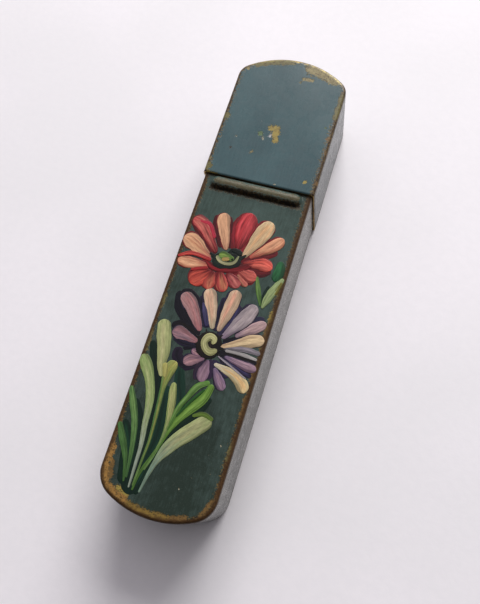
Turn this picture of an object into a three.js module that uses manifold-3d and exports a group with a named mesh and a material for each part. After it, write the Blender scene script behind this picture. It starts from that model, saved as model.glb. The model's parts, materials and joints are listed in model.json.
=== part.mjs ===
// A slide-up lipstick case: a flat painted brass box lying on its back, with a slip-over cap.
// Millimetres, +Z up. The case's length runs along Y with the cap toward +Y, its painted
// front faces +Z, and the origin is under the middle of the whole case, on the cap's back.
import * as THREE from 'three';
import { mergeVertices } from 'three/addons/utils/BufferGeometryUtils.js';
import Module from 'manifold-3d';

const wasm = await Module();
wasm.setup();

// ---- Driving dimensions ----
const LENGTH = 79; // closed case, foot to crown
const CAP_LENGTH = 24.3;
const CAP_WIDTH = 19;
const CAP_DEPTH = 14;
const SHEET = 0.3; // brass sheet of the plates and bands
const SLIP = 0.05; // clearance between the cap and the body it slides over
const SEAM = 0.02; // solder line between a plate's flange and its band
const EDGE_R = 0.5; // rounded edge of the plates
const FLANGE = 0.8; // from a plate's face down to the seam
const NECK = 8.5; // length of the body that stays under the closed cap
const CROWN_ARCH_R = 14.5; // shallow arch of the cap's end
const CROWN_CORNER_R = 2.6;
const FOOT_ARCH_R = 15.5;
const FOOT_CORNER_R = 4.2;

const BEAD_WIDTH = 2.3; // half-round bead pressed into the body's front, the cap's stop
const BEAD_HEIGHT = 0.75;
const BEAD_LENGTH = 15.5;
const BEAD_TO_SEAM = 1.3; // bead's centre line below the cap's edge

const TRAVEL = 15; // stroke of the slide
const TUBE_R = 6.15; // guide tube, outside
const TUBE_WALL = 0.25;
const CARRIER_R = 5.75;
const CUP_R = 5.35; // refill cup, outside
const CUP_WALL = 0.25;
const CUP_DEPTH = 9.25;
const BULLET_EXPOSED = 13.8; // lipstick above the cup's rim
const TIP_RECESS = 1.65; // retracted tip below the mouth
const ROD_R = 1.45;
const KNOB_Y = -28; // middle of the thumb knob, slide down
const KNOB_SIZE = new THREE.Vector3(1.15, 8, 5);
const PLAY = 0.05; // working gap between neighbouring pieces
const ROUND = 32; // sides of the round pieces

// ---- Derived places ----
const CROWN_Y = LENGTH / 2;
const FOOT_Y = -LENGTH / 2;
const SEAM_Y = CROWN_Y - CAP_LENGTH;
const NECK_Y = SEAM_Y + NECK;
const BODY_HALF = CAP_WIDTH / 2 - SHEET - SLIP;
const BODY_BACK = SHEET + SLIP;
const BODY_FRONT = CAP_DEPTH - SHEET - SLIP;
const MID_Z = CAP_DEPTH / 2;
const INNER_HALF = BODY_HALF - SHEET;
const INNER_DEPTH = BODY_FRONT - BODY_BACK - 2 * SHEET;

const MOUTH_PLATE = 0.5;
const MOUTH_HOLE_R = 5.6;
const TIP_Y = NECK_Y - TIP_RECESS;
const RIM_Y = TIP_Y - BULLET_EXPOSED;
const CUP_FLOOR_Y = RIM_Y - CUP_DEPTH;
const CARRIER_TOP_Y = RIM_Y - 4.3;
const CARRIER_BASE = 3;
const CARRIER_LOW_Y = CUP_FLOOR_Y - PLAY - CARRIER_BASE;
const BRIDGE = 0.8; // partition that carries the tube's lower end
const BRIDGE_TOP_Y = CARRIER_LOW_Y - 2.2;
const SPIGOT = 1; // ring on the partition that centres the tube
const BLOCK = { left: -5.8, right: 3, length: 7, half: 6.1 };
const STEM = { half_y: 1.7, half_z: 0.9 };
const SHOULDER_X = -7.2;
const SHOE = { inner: -8.45, half_y: 5, half_z: 3 };
const SCREW_R = 0.5;
const HEAD_R = 0.95;
const HEAD_DEPTH = 0.5;
const PIN_R = 0.5;
const PIN_Y = KNOB_Y - 1.9;

// ---- Finishes ----
const FINISH = {
  paint: { color: 0x4b5f5d, roughness: 0.42, metalness: 0.0 },
  cap_paint: { color: 0x566872, roughness: 0.42, metalness: 0.0 },
  brass: { color: 0xb08d4f, roughness: 0.38, metalness: 1.0 },
  cup: { color: 0xc9ae72, roughness: 0.25, metalness: 1.0 },
  steel: { color: 0x9b9c9e, roughness: 0.35, metalness: 1.0 },
  lipstick: { color: 0xa51f2b, roughness: 0.45, metalness: 0.0 },
};

// ---- Solids: three.js geometry to a manifold solid and back ----
function solidOf(geometry) {
  const bare = geometry.index ? geometry.toNonIndexed() : geometry.clone();
  bare.deleteAttribute('normal');
  bare.deleteAttribute('uv');
  const merged = mergeVertices(bare, 1e-4);
  const vertProperties = new Float32Array(merged.attributes.position.array);
  const triVerts = new Uint32Array(merged.index.array);
  return new wasm.Manifold(new wasm.Mesh({ numProp: 3, vertProperties, triVerts }));
}

function geometryOf(solid) {
  const mesh = solid.getMesh();
  const geometry = new THREE.BufferGeometry();
  geometry.setAttribute('position', new THREE.BufferAttribute(mesh.vertProperties, 3));
  geometry.setIndex(new THREE.BufferAttribute(mesh.triVerts, 1));
  return geometry;
}

const cut = (from, ...tools) => tools.reduce((solid, tool) => solid.subtract(tool), from);

// A box between two corners.
function box(x0, x1, y0, y1, z0, z1) {
  const geometry = new THREE.BoxGeometry(x1 - x0, y1 - y0, z1 - z0);
  return solidOf(geometry.translate((x0 + x1) / 2, (y0 + y1) / 2, (z0 + z1) / 2));
}

// An XY outline extruded from z0 up to z1.
function slab(shape, z0, z1) {
  const options = { depth: z1 - z0, bevelEnabled: false, curveSegments: 9 };
  return solidOf(new THREE.ExtrudeGeometry(shape, options).translate(0, 0, z0));
}

// A closed profile of (radius, y) points turned about the case's long axis.
function turned(points, sides = ROUND) {
  const profile = points.map(([r, y]) => new THREE.Vector2(r, y));
  return solidOf(new THREE.LatheGeometry(profile, sides).translate(0, 0, MID_Z));
}

const ring = (r0, r1, y0, y1) => turned([[r0, y0], [r1, y0], [r1, y1], [r0, y1], [r0, y0]]);

// A round bar along X, Y or Z, centred on a point.
function bar(axis, radius, length, x, y, z, sides = 16) {
  const geometry = new THREE.CylinderGeometry(radius, radius, length, sides);
  if (axis === 'x') geometry.rotateZ(Math.PI / 2);
  if (axis === 'z') geometry.rotateX(Math.PI / 2);
  return solidOf(geometry.translate(x, y, z));
}

// ---- Outlines ----
// A shell's outline is straight across at openY. Its other end is a shallow arch through the
// tip, met by two small corner arcs that are tangent to the arch and to the sides.
const BODY = {
  half: BODY_HALF, openY: NECK_Y, tip: FOOT_Y, archR: FOOT_ARCH_R, cornerR: FOOT_CORNER_R,
};
const CAP = {
  half: CAP_WIDTH / 2, openY: SEAM_Y, tip: CROWN_Y, archR: CROWN_ARCH_R, cornerR: CROWN_CORNER_R,
};

function endArcs({ half, tip, archR, cornerR }, inset) {
  const up = Math.sign(tip);
  const rise = Math.sqrt((archR - cornerR) ** 2 - (half - cornerR) ** 2);
  const archY = tip - up * archR;
  return {
    archY,
    cornerX: half - cornerR,
    cornerY: archY + up * rise,
    cornerR: cornerR - inset,
    archR: archR - inset,
    turn: Math.atan2(rise, half - cornerR),
  };
}

// Carries an open outline round one end. It runs left to right through the tip on the
// outer line, or right to left on the inner line.
function goRound(shape, arcs, up, outward) {
  const { archY, cornerX, cornerY, cornerR, archR, turn } = arcs;
  const flip = (angle) => up * angle;
  const left = [Math.PI, Math.PI - turn];
  const arch = [Math.PI - turn, turn];
  const right = [turn, 0];
  const way = up > 0;
  if (outward) {
    shape.absarc(-cornerX, cornerY, cornerR, flip(left[0]), flip(left[1]), way);
    shape.absarc(0, archY, archR, flip(arch[0]), flip(arch[1]), way);
    shape.absarc(cornerX, cornerY, cornerR, flip(right[0]), flip(right[1]), way);
  } else {
    shape.absarc(cornerX, cornerY, cornerR, flip(right[1]), flip(right[0]), !way);
    shape.absarc(0, archY, archR, flip(arch[1]), flip(arch[0]), !way);
    shape.absarc(-cornerX, cornerY, cornerR, flip(left[1]), flip(left[0]), !way);
  }
}

// The whole outline, drawn an inset inside itself.
function plateShape(outline, inset) {
  const { half, openY, tip } = outline;
  const shape = new THREE.Shape();
  shape.moveTo(half - inset, openY);
  shape.lineTo(-half + inset, openY);
  goRound(shape, endArcs(outline, inset), Math.sign(tip), true);
  shape.closePath();
  return shape;
}

// A band one sheet thick that follows the same outline and is open at the open end.
function bandShape(outline) {
  const { half, openY, tip } = outline;
  const shape = new THREE.Shape();
  shape.moveTo(-half + SHEET, openY);
  shape.lineTo(-half, openY);
  goRound(shape, endArcs(outline, 0), Math.sign(tip), true);
  shape.lineTo(half, openY);
  shape.lineTo(half - SHEET, openY);
  goRound(shape, endArcs(outline, SHEET), Math.sign(tip), false);
  shape.closePath();
  return shape;
}

// A rounded slot drawn in the YZ plane and extruded along X.
function slotAlongY(x0, x1, y0, y1, halfZ) {
  const shape = new THREE.Shape();
  shape.absarc(y0 + halfZ, 0, halfZ, Math.PI / 2, Math.PI * 1.5, false);
  shape.absarc(y1 - halfZ, 0, halfZ, -Math.PI / 2, Math.PI / 2, false);
  shape.closePath();
  const options = { depth: x1 - x0, bevelEnabled: false, curveSegments: 8 };
  const geometry = new THREE.ExtrudeGeometry(shape, options);
  geometry.rotateX(Math.PI / 2).rotateZ(Math.PI / 2);
  return solidOf(geometry.translate(x0, 0, MID_Z));
}

// ---- Plates ----
// A plate is a shallow tray: a flat face, a rounded edge and a short flange, cut straight at
// its open end. The face is at faceZ; side is 1 where it looks up and -1 where it looks down.
function tray(outline, faceZ, side) {
  const { half, openY, tip } = outline;
  const longer = { ...outline, openY: openY - Math.sign(tip) * 2 };
  const bevel = { bevelThickness: EDGE_R, bevelSize: EDGE_R, bevelOffset: -EDGE_R };
  const options = { depth: 2 * FLANGE, bevelSegments: 4, curveSegments: 9, ...bevel };
  const whole = new THREE.ExtrudeGeometry(plateShape(longer, 0), options);
  whole.translate(0, 0, -2 * FLANGE - EDGE_R);
  const pocket = new THREE.ExtrudeGeometry(plateShape(longer, SHEET),
    { depth: 9, bevelEnabled: false, curveSegments: 9 });
  pocket.translate(0, 0, -9 - SHEET);
  const placed = [whole, pocket].map((geometry) => {
    if (side < 0) geometry.rotateY(Math.PI);
    return solidOf(geometry.translate(0, 0, faceZ));
  });
  const far = openY - Math.sign(tip) * 9;
  const beyond = box(-half - 1, half + 1, Math.min(far, openY), Math.max(far, openY), -9, 30);
  const seamZ = faceZ - side * FLANGE;
  const past = box(-half - 1, half + 1, FOOT_Y - 1, CROWN_Y + 1,
    Math.min(seamZ, seamZ - side * 9), Math.max(seamZ, seamZ - side * 9));
  return cut(placed[0], placed[1], beyond, past);
}

// ---- Body shell ----
// The bead is a shallow circular segment with ball ends; its inside is pressed hollow.
function bead(radius) {
  const chordDepth = radiusOfBead() - BEAD_HEIGHT;
  const straight = BEAD_LENGTH - BEAD_WIDTH;
  const geometry = new THREE.CapsuleGeometry(radius, straight, 6, 20);
  geometry.rotateZ(Math.PI / 2);
  return solidOf(geometry.translate(0, SEAM_Y - BEAD_TO_SEAM, BODY_FRONT - chordDepth));
}

function radiusOfBead() {
  const halfChord = BEAD_WIDTH / 2;
  return (halfChord ** 2 + BEAD_HEIGHT ** 2) / (2 * BEAD_HEIGHT);
}

function bodyFrontPlate() {
  const plate = tray(BODY, BODY_FRONT, 1);
  const below = box(-CAP_WIDTH, CAP_WIDTH, FOOT_Y, NECK_Y, -1, BODY_FRONT - SHEET);
  const raised = cut(bead(radiusOfBead()), below);
  return cut(plate.add(raised), bead(radiusOfBead() - SHEET));
}

const bodyBackPlate = () => tray(BODY, BODY_BACK, -1);

// The slider's slot is cut in the left wall.
function bodySideBand() {
  const band = slab(bandShape(BODY), BODY_BACK + FLANGE + SEAM, BODY_FRONT - FLANGE - SEAM);
  const margin = STEM.half_y + 0.75;
  return cut(band, slotAlongY(-BODY_HALF - 1, -INNER_HALF + 1,
    KNOB_Y - margin, KNOB_Y + TRAVEL + margin, STEM.half_z + 0.1));
}

// A partition that fits inside the body's four walls.
function partition(y0, y1) {
  const half = INNER_HALF - 0.03;
  const halfZ = INNER_DEPTH / 2 - 0.03;
  return box(-half, half, y0, y1, MID_Z - halfZ, MID_Z + halfZ);
}

const axial = (radius, y0, y1) => turned([[0, y0], [radius, y0], [radius, y1], [0, y1]]);

const mouthPlate = () =>
  cut(partition(NECK_Y - MOUTH_PLATE, NECK_Y), axial(MOUTH_HOLE_R, NECK_Y - 2, NECK_Y + 2));

const guideTube = () =>
  ring(TUBE_R - TUBE_WALL, TUBE_R, BRIDGE_TOP_Y + SEAM, NECK_Y - MOUTH_PLATE - SEAM);

// The partition's spigot enters the tube, and the push rod runs through its middle.
function tubeBridge() {
  const plate = partition(BRIDGE_TOP_Y - BRIDGE, BRIDGE_TOP_Y);
  const spigotR = TUBE_R - TUBE_WALL - PLAY;
  const spigot = ring(spigotR - 0.6, spigotR, BRIDGE_TOP_Y - BRIDGE / 2, BRIDGE_TOP_Y + SPIGOT);
  return cut(plate.add(spigot), axial(ROD_R + 0.15, BRIDGE_TOP_Y - 2, BRIDGE_TOP_Y + 2));
}

// ---- Carriage: what the thumb knob pushes up ----
const GROOVE = { low: CARRIER_LOW_Y + 1, high: CARRIER_LOW_Y + 2, r: 5.1 };

function carrier() {
  const inner = CUP_R + PLAY;
  const seatY = CUP_FLOOR_Y - PLAY;
  const hole = ROD_R + PLAY;
  return turned([
    [hole, CARRIER_LOW_Y], [CARRIER_R, CARRIER_LOW_Y], [CARRIER_R, GROOVE.low],
    [GROOVE.r, GROOVE.low], [GROOVE.r, GROOVE.high], [CARRIER_R, GROOVE.high],
    [CARRIER_R, CARRIER_TOP_Y], [inner, CARRIER_TOP_Y], [inner, seatY],
    [hole, seatY], [hole, CARRIER_LOW_Y],
  ]);
}

// An open ring that presses on the tube's wall; the gap lies toward the back.
function carrierSpring() {
  const r1 = TUBE_R - TUBE_WALL - PLAY;
  const whole = ring(GROOVE.r + 0.1, r1, GROOVE.low + PLAY, GROOVE.high - PLAY);
  return cut(whole, box(-1.4, 1.4, GROOVE.low - 1, GROOVE.high + 1, 0, MID_Z - 2));
}

function refillCup() {
  const inner = CUP_R - CUP_WALL;
  const floor = CUP_FLOOR_Y + CUP_WALL;
  return turned([
    [0, CUP_FLOOR_Y], [CUP_R, CUP_FLOOR_Y], [CUP_R, RIM_Y], [inner, RIM_Y],
    [inner, floor], [0, floor],
  ]);
}

// A wax stick with a slanted face across its rounded tip.
function lipstickBullet() {
  const r = CUP_R - CUP_WALL - PLAY;
  const low = CUP_FLOOR_Y + CUP_WALL + PLAY;
  const dome = 3;
  const points = [[0, low], [r, low]];
  for (let i = 0; i <= 6; i += 1) {
    const angle = (i / 6) * Math.PI / 2;
    points.push([r * Math.cos(angle), TIP_Y - dome + dome * Math.sin(angle)]);
  }
  points[points.length - 1][0] = 0;
  const slant = new THREE.BoxGeometry(20, 10, 30).translate(0, 5, 0);
  slant.rotateX(THREE.MathUtils.degToRad(-48)).translate(0, TIP_Y - 0.4, MID_Z + 1.6);
  return cut(turned(points), solidOf(slant));
}

const rodLowY = KNOB_Y - BLOCK.length / 2 + 0.6;

function pushRod() {
  const top = CUP_FLOOR_Y - PLAY - 0.2;
  const pinHole = bar('z', PIN_R + PLAY, 8, 0, PIN_Y, MID_Z);
  return cut(axial(ROD_R, rodLowY, top), pinHole);
}

function sliderBlock() {
  const low = KNOB_Y - BLOCK.length / 2;
  const high = KNOB_Y + BLOCK.length / 2;
  const block = box(BLOCK.left, BLOCK.right, low, high, MID_Z - BLOCK.half, MID_Z + BLOCK.half);
  const socket = axial(ROD_R + PLAY, rodLowY - 0.1, high + 1);
  const pinHole = bar('z', PIN_R + PLAY, 20, 0, PIN_Y, MID_Z);
  const screwHole = bar('x', SCREW_R + PLAY, 5, BLOCK.left, KNOB_Y, MID_Z);
  // Both long sides are hollowed, which leaves a web round the rod and two end flanges.
  const web = 2.6;
  const flange = 1.2;
  const hollows = [-1, 1].map((side) => {
    const z = MID_Z + side * (web + BLOCK.half) / 2;
    const half = (BLOCK.half - web) / 2;
    return box(BLOCK.left - 1, BLOCK.right + 1, low + flange, high - flange,
      z - half + (side < 0 ? -1 : 0), z + half + (side > 0 ? 1 : 0));
  });
  return cut(block, socket, pinHole, screwHole, ...hollows);
}

const rodPin = () => bar('z', PIN_R, 2 * 2.5, 0, PIN_Y, MID_Z);

// A box centred on the knob's axis, x0 to x1.
const onKnob = (x0, x1, halfY, halfZ) =>
  box(x0, x1, KNOB_Y - halfY, KNOB_Y + halfY, MID_Z - halfZ, MID_Z + halfZ);

const screwPassage = () => bar('x', SCREW_R + PLAY, 14, BLOCK.left - 2, KNOB_Y, MID_Z);

function sliderStem() {
  const neck = onKnob(-BODY_HALF - PLAY + 0.02, SHOULDER_X + 0.5, STEM.half_y, STEM.half_z);
  const shoulder = onKnob(SHOULDER_X, BLOCK.left - 0.03, 2.5, 1.6);
  return cut(neck.add(shoulder), screwPassage());
}

const stemPassage = () => onKnob(-12, 0, STEM.half_y + PLAY, STEM.half_z + PLAY);

const sliderShoe = () =>
  cut(onKnob(-INNER_HALF + PLAY, SHOE.inner, SHOE.half_y, SHOE.half_z), stemPassage());

// A bowed leaf: its ends press the shoe outward, its middle rests on the stem's shoulder.
function leafSpring() {
  const thick = 0.15;
  const ends = SHOE.inner + 0.03;
  const middle = SHOULDER_X - 0.03;
  const half = SHOE.half_y - 0.4;
  const bow = middle - ends - thick;
  const at = (t) => ends + bow * 0.5 * (1 + Math.cos(Math.PI * t));
  const shape = new THREE.Shape();
  const steps = 12;
  for (let i = 0; i <= steps; i += 1) {
    const t = -1 + 2 * i / steps;
    if (i === 0) shape.moveTo(at(t), KNOB_Y + half * t);
    else shape.lineTo(at(t), KNOB_Y + half * t);
  }
  for (let i = steps; i >= 0; i -= 1) {
    const t = -1 + 2 * i / steps;
    shape.lineTo(at(t) + thick, KNOB_Y + half * t);
  }
  shape.closePath();
  return cut(slab(shape, MID_Z - 2, MID_Z + 2), stemPassage());
}

// The thumb knob: a pad with five grip ribs and a counterbore for the screw's head.
function sliderKnob() {
  const inner = -BODY_HALF - PLAY;
  const base = inner - KNOB_SIZE.x * 0.6;
  const pad = onKnob(base, inner, KNOB_SIZE.y / 2, KNOB_SIZE.z / 2);
  const pitch = KNOB_SIZE.y / 5;
  let knob = pad;
  for (let i = -2; i <= 2; i += 1) {
    const y = KNOB_Y + i * pitch;
    knob = knob.add(box(inner - KNOB_SIZE.x, base + 0.2, y - 0.45, y + 0.45,
      MID_Z - KNOB_SIZE.z / 2 + 0.3, MID_Z + KNOB_SIZE.z / 2 - 0.3));
  }
  const counterbore = bar('x', HEAD_R + PLAY, 4, inner - 0.25 - 2, KNOB_Y, MID_Z, 20);
  return cut(knob, counterbore, screwPassage());
}

// A cheese-head screw that ties the knob, stem and block together.
function sliderScrew() {
  const seat = -BODY_HALF - PLAY - 0.25 - 0.03;
  const head = bar('x', HEAD_R, HEAD_DEPTH, seat - HEAD_DEPTH / 2, KNOB_Y, MID_Z, 20);
  const end = BLOCK.left + 2.2;
  const shank = bar('x', SCREW_R, end - seat + 0.1, (end + seat - 0.1) / 2, KNOB_Y, MID_Z);
  const slot = box(seat - 1, seat - HEAD_DEPTH + 0.2, KNOB_Y - 2, KNOB_Y + 2,
    MID_Z - 0.13, MID_Z + 0.13);
  return cut(head.add(shank), slot);
}

// ---- Cap shell ----
const capFrontPlate = () => tray(CAP, CAP_DEPTH, 1);
const capBackPlate = () => tray(CAP, 0, -1);
const capSideBand = () => slab(bandShape(CAP), FLANGE + SEAM, CAP_DEPTH - FLANGE - SEAM);

// ---- Assembly ----
const PIECES = [
  ['body_front_plate', bodyFrontPlate, 'paint'],
  ['body_back_plate', bodyBackPlate, 'paint'],
  ['body_side_band', bodySideBand, 'paint'],
  ['mouth_plate', mouthPlate, 'brass'],
  ['guide_tube', guideTube, 'brass'],
  ['tube_bridge', tubeBridge, 'brass'],
  ['carrier', carrier, 'brass'],
  ['carrier_spring', carrierSpring, 'steel'],
  ['refill_cup', refillCup, 'cup'],
  ['lipstick_bullet', lipstickBullet, 'lipstick'],
  ['push_rod', pushRod, 'brass'],
  ['rod_pin', rodPin, 'steel'],
  ['slider_block', sliderBlock, 'brass'],
  ['slider_stem', sliderStem, 'brass'],
  ['slider_shoe', sliderShoe, 'brass'],
  ['slider_leaf_spring', leafSpring, 'steel'],
  ['slider_knob', sliderKnob, 'brass'],
  ['slider_screw', sliderScrew, 'steel'],
  ['cap_front_plate', capFrontPlate, 'cap_paint'],
  ['cap_back_plate', capBackPlate, 'cap_paint'],
  ['cap_side_band', capSideBand, 'cap_paint'],
];

const lipstickCase = new THREE.Group();
for (const [name, make, finish] of PIECES) {
  const mesh = new THREE.Mesh(geometryOf(make()), new THREE.MeshStandardMaterial(FINISH[finish]));
  mesh.name = name;
  lipstickCase.add(mesh);
}

export default lipstickCase;
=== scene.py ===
# %% [markdown]
# # A hand-painted slide-up lipstick case
# The case is a flat box of sheet brass with an arched foot and crown. A cap slips over its
# mouth, and a bead pressed across the front is the cap's stop. The CAD model gives the sizes
# and the motion. This script gives the look: thin sheet with rounded edges, enamel worn
# through to brass, and two daisies and a clump of leaves laid on with a loaded brush.
# Every length below is in millimetres, and meshes are scaled to metres when they are made.

# %% Load the frame
import json
import math
import bpy
import bmesh
import numpy as np
from mathutils import Matrix, Vector


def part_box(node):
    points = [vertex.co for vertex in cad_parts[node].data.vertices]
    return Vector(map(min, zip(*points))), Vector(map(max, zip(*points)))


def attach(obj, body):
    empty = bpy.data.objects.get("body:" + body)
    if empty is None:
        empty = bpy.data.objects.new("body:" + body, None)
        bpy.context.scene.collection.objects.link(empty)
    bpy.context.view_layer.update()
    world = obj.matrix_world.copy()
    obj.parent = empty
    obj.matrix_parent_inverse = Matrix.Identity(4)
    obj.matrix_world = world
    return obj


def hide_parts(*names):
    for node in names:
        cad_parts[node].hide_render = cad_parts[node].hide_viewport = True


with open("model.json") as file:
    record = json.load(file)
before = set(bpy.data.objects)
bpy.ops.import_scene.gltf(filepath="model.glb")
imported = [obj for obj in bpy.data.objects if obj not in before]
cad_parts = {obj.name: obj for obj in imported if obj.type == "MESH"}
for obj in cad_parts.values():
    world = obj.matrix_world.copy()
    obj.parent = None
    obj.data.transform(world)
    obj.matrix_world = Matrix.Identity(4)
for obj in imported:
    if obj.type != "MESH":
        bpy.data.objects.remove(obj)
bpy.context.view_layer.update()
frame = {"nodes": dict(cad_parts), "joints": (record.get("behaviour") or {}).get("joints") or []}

MM = 0.001


# %% Sizes that the frame gives
def span(node):
    """Lowest and highest corner of a CAD node, in millimetres."""
    low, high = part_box(node)
    return np.array(low) / MM, np.array(high) / MM


cap_low, cap_high = span("cap_front_plate")
body_low, body_high = span("body_back_plate")
band_low = span("body_side_band")[0]
SEAM_Y = cap_low[1]  # the closed cap's edge
CAP_FACE = cap_high[2]
STEP = body_low[2]  # how far the body's faces lie inside the cap's
BODY_FACE = CAP_FACE - STEP
MID_Z = CAP_FACE / 2
SHEET = 0.3
EDGE_R = 0.5
FLANGE = 0.8
SEAM_GAP = band_low[2] - body_low[2] - FLANGE
print(f"seam at y {SEAM_Y:.2f}, faces at z {CAP_FACE:.2f} and {BODY_FACE:.2f}, gap {SEAM_GAP:.3f}")

# %% [markdown]
# ## The camera
# The case is seen from close above its lower right, so its long edges run together upward.
# The camera goes first, because everything after it is judged through it. It is set by the
# point it aims at, a distance, a compass angle, a height angle and a roll.

# %% Camera
AIM = Vector((3.31, -4.97, CAP_FACE)) * MM
DISTANCE = 101.7 * MM
AZIMUTH, ELEVATION, ROLL = (math.radians(angle) for angle in (37.39, 71.42, -20.87))
back = Vector((math.sin(AZIMUTH) * math.cos(ELEVATION),
               -math.cos(AZIMUTH) * math.cos(ELEVATION), math.sin(ELEVATION)))
level = Vector((math.cos(AZIMUTH), math.sin(AZIMUTH), 0))
right = math.cos(ROLL) * level + math.sin(ROLL) * back.cross(level)
camera = bpy.data.objects.new("camera", bpy.data.cameras.new("camera"))
camera.data.lens = 39.2
camera.data.clip_start = 1 * MM
turn = Matrix((right, back.cross(right), back)).transposed().to_4x4()
camera.matrix_world = Matrix.Translation(AIM + back * DISTANCE) @ turn
bpy.context.scene.collection.objects.link(camera)
bpy.context.scene.camera = camera
bpy.context.scene.view_settings.view_transform = "Standard"
print("camera at", [round(value / MM, 1) for value in camera.location])

# %% [markdown]
# ## Mesh helpers
# Each surface is a grid of points worked out as whole numpy arrays. Where two grids share an
# edge, or a row shrinks to one point, the doubled points are merged, so seams and poles close.


# %% Grids and pieces
def grid_faces(rows, cols, closed=False, start=0):
    """Quads between neighbouring rows and columns of a grid numbered row by row.

    A closed grid has one more column of quads, from the last column back to the first."""
    wide = cols if closed else cols - 1
    row, col = np.meshgrid(np.arange(rows - 1), np.arange(wide), indexing="ij")
    a = start + row * cols + col
    b = start + row * cols + (col + 1) % cols
    return np.stack([a, b, b + cols, a + cols], -1).reshape(-1, 4)


def mesh_of(name, points, faces, floats=None, tints=None, uv=None, merge=0.0004):
    """A mesh from points in millimetres, with float and colour attributes on its points."""
    mesh = bpy.data.meshes.new(name)
    mesh.from_pydata((points * MM).tolist(), [], faces.tolist())
    for key, values in (floats or {}).items():
        layer = mesh.attributes.new(key, "FLOAT", "POINT")
        layer.data.foreach_set("value", np.asarray(values, np.float32).ravel())
    for key, values in (tints or {}).items():
        layer = mesh.attributes.new(key, "FLOAT_COLOR", "POINT")
        layer.data.foreach_set("color", np.asarray(values, np.float32).ravel())
    if uv is not None:
        loops = np.empty(len(mesh.loops), np.int32)
        mesh.loops.foreach_get("vertex_index", loops)
        mesh.uv_layers.new(name="UVMap").data.foreach_set("uv", uv[loops].ravel())
    work = bmesh.new()
    work.from_mesh(mesh)
    bmesh.ops.remove_doubles(work, verts=work.verts, dist=merge * MM)
    work.to_mesh(mesh)
    work.free()
    mesh.shade_smooth()
    return mesh


def add_piece(name, mesh, body, slot, *materials, stands_for=()):
    """Links a mesh as a piece of the case that rides on a body."""
    piece = bpy.data.objects.new(name, mesh)
    bpy.context.scene.collection.objects.link(piece)
    for material in materials:
        mesh.materials.append(material)
    if stands_for:
        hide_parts(*stands_for)
    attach(piece, body)
    return piece


def face_out(mesh, way):
    """Turns all faces over if, on the whole, they look against the given way."""
    facing = sum((face.normal * face.area for face in mesh.polygons), Vector()).dot(Vector(way))
    if facing < 0:
        mesh.flip_normals()
    return mesh


def outward(mesh):
    """Recalculates a closed mesh's normals so that its faces point out."""
    work = bmesh.new()
    work.from_mesh(mesh)
    bmesh.ops.recalc_face_normals(work, faces=work.faces)
    work.to_mesh(mesh)
    work.free()
    return mesh


def smoothstep(low, high, value):
    """0 below low, 1 above high, and an S-curve between them."""
    t = np.clip((value - low) / (high - low), 0, 1)
    return t * t * (3 - 2 * t)


def linear(*rgb):
    """A colour given as 0 to 255 on a screen, as the linear light a shader works in."""
    c = np.array(rgb, float) / 255
    return np.where(c <= 0.04045, c / 12.92, ((c + 0.055) / 1.055) ** 2.4)


print("grid check:", grid_faces(3, 4).shape, "quads of a 3 by 4 grid")

# %% [markdown]
# ## The outline
# Both shells share one kind of outline: straight sides, two corner arcs and a shallow arch
# that is tangent to them. An inset keeps the centres and shortens the radii, so each point
# of the outline moves straight in along its normal.

# %% Outlines
BODY = {"half": body_high[0], "open_y": body_high[1], "tip": body_low[1], "arch": 15.5, "corner": 4.2}
CAP = {"half": cap_high[0], "open_y": SEAM_Y, "tip": cap_high[1], "arch": 14.5, "corner": 2.6}


def arcs(shape):
    """Sign of the end, the arch's centre, the corner's centre, and the angle where they meet.

    The corner's centre is a corner radius inside the side, and the difference of the two
    radii away from the arch's centre."""
    up = math.copysign(1, shape["tip"])
    arch_y = shape["tip"] - up * shape["arch"]
    corner_x = shape["half"] - shape["corner"]
    rise = math.sqrt((shape["arch"] - shape["corner"]) ** 2 - corner_x ** 2)
    return up, arch_y, corner_x, arch_y + up * rise, math.atan2(rise, corner_x)


def end_line(shape, corner_steps=12, arch_steps=72):
    """Points and outward normals round the closed end, left to right.

    Three arcs are joined: angles from 180 degrees to the meeting angle about the left corner,
    across the arch, and down to 0 about the right corner."""
    up, arch_y, corner_x, corner_y, meet = arcs(shape)
    left = np.linspace(math.pi, math.pi - meet, corner_steps + 1)[:-1]
    arch = np.linspace(math.pi - meet, meet, arch_steps + 1)
    right_turn = np.linspace(meet, 0, corner_steps + 1)[1:]
    parts = []
    for angles, x, y, radius in ((left, -corner_x, corner_y, shape["corner"]),
                                 (arch, 0, arch_y, shape["arch"]),
                                 (right_turn, corner_x, corner_y, shape["corner"])):
        normal = np.stack([np.cos(angles), up * np.sin(angles)], -1)
        parts.append(np.concatenate([np.array([x, y]) + radius * normal, normal], -1))
    line = np.concatenate(parts)
    return line[:, :2], line[:, 2:]


def whole_line(shape, rows_y):
    """The outline from the open end round to the open end: left side, closed end, right side."""
    end, end_normal = end_line(shape)
    side = np.stack([np.full(len(rows_y), -shape["half"]), rows_y], -1)
    normal = np.tile([-1.0, 0.0], (len(rows_y), 1))
    flip = np.array([-1.0, 1.0])
    points = np.concatenate([side[:-1], end, (side * flip)[:-1][::-1]])
    normals = np.concatenate([normal[:-1], end_normal, (normal * flip)[:-1][::-1]])
    return points, normals


def rim_distance(shape, x, y):
    """Distance from a point inside the outline to the outline.

    Beyond a corner's centre it is a radius less the distance to that arc's centre."""
    up, arch_y, corner_x, corner_y, meet = arcs(shape)
    ax = np.abs(x)
    side = shape["half"] - ax
    rise = up * (y - arch_y)
    arch = shape["arch"] - np.hypot(ax, rise)
    corner = shape["corner"] - np.hypot(ax - corner_x, up * (y - corner_y))
    in_arch = (rise > 0) & (np.arctan2(rise, np.maximum(ax, 1e-6)) > meet)
    in_corner = ~in_arch & (ax > corner_x) & (up * (y - corner_y) > 0)
    return np.where(in_arch, arch, np.where(in_corner, corner, side))


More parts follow.
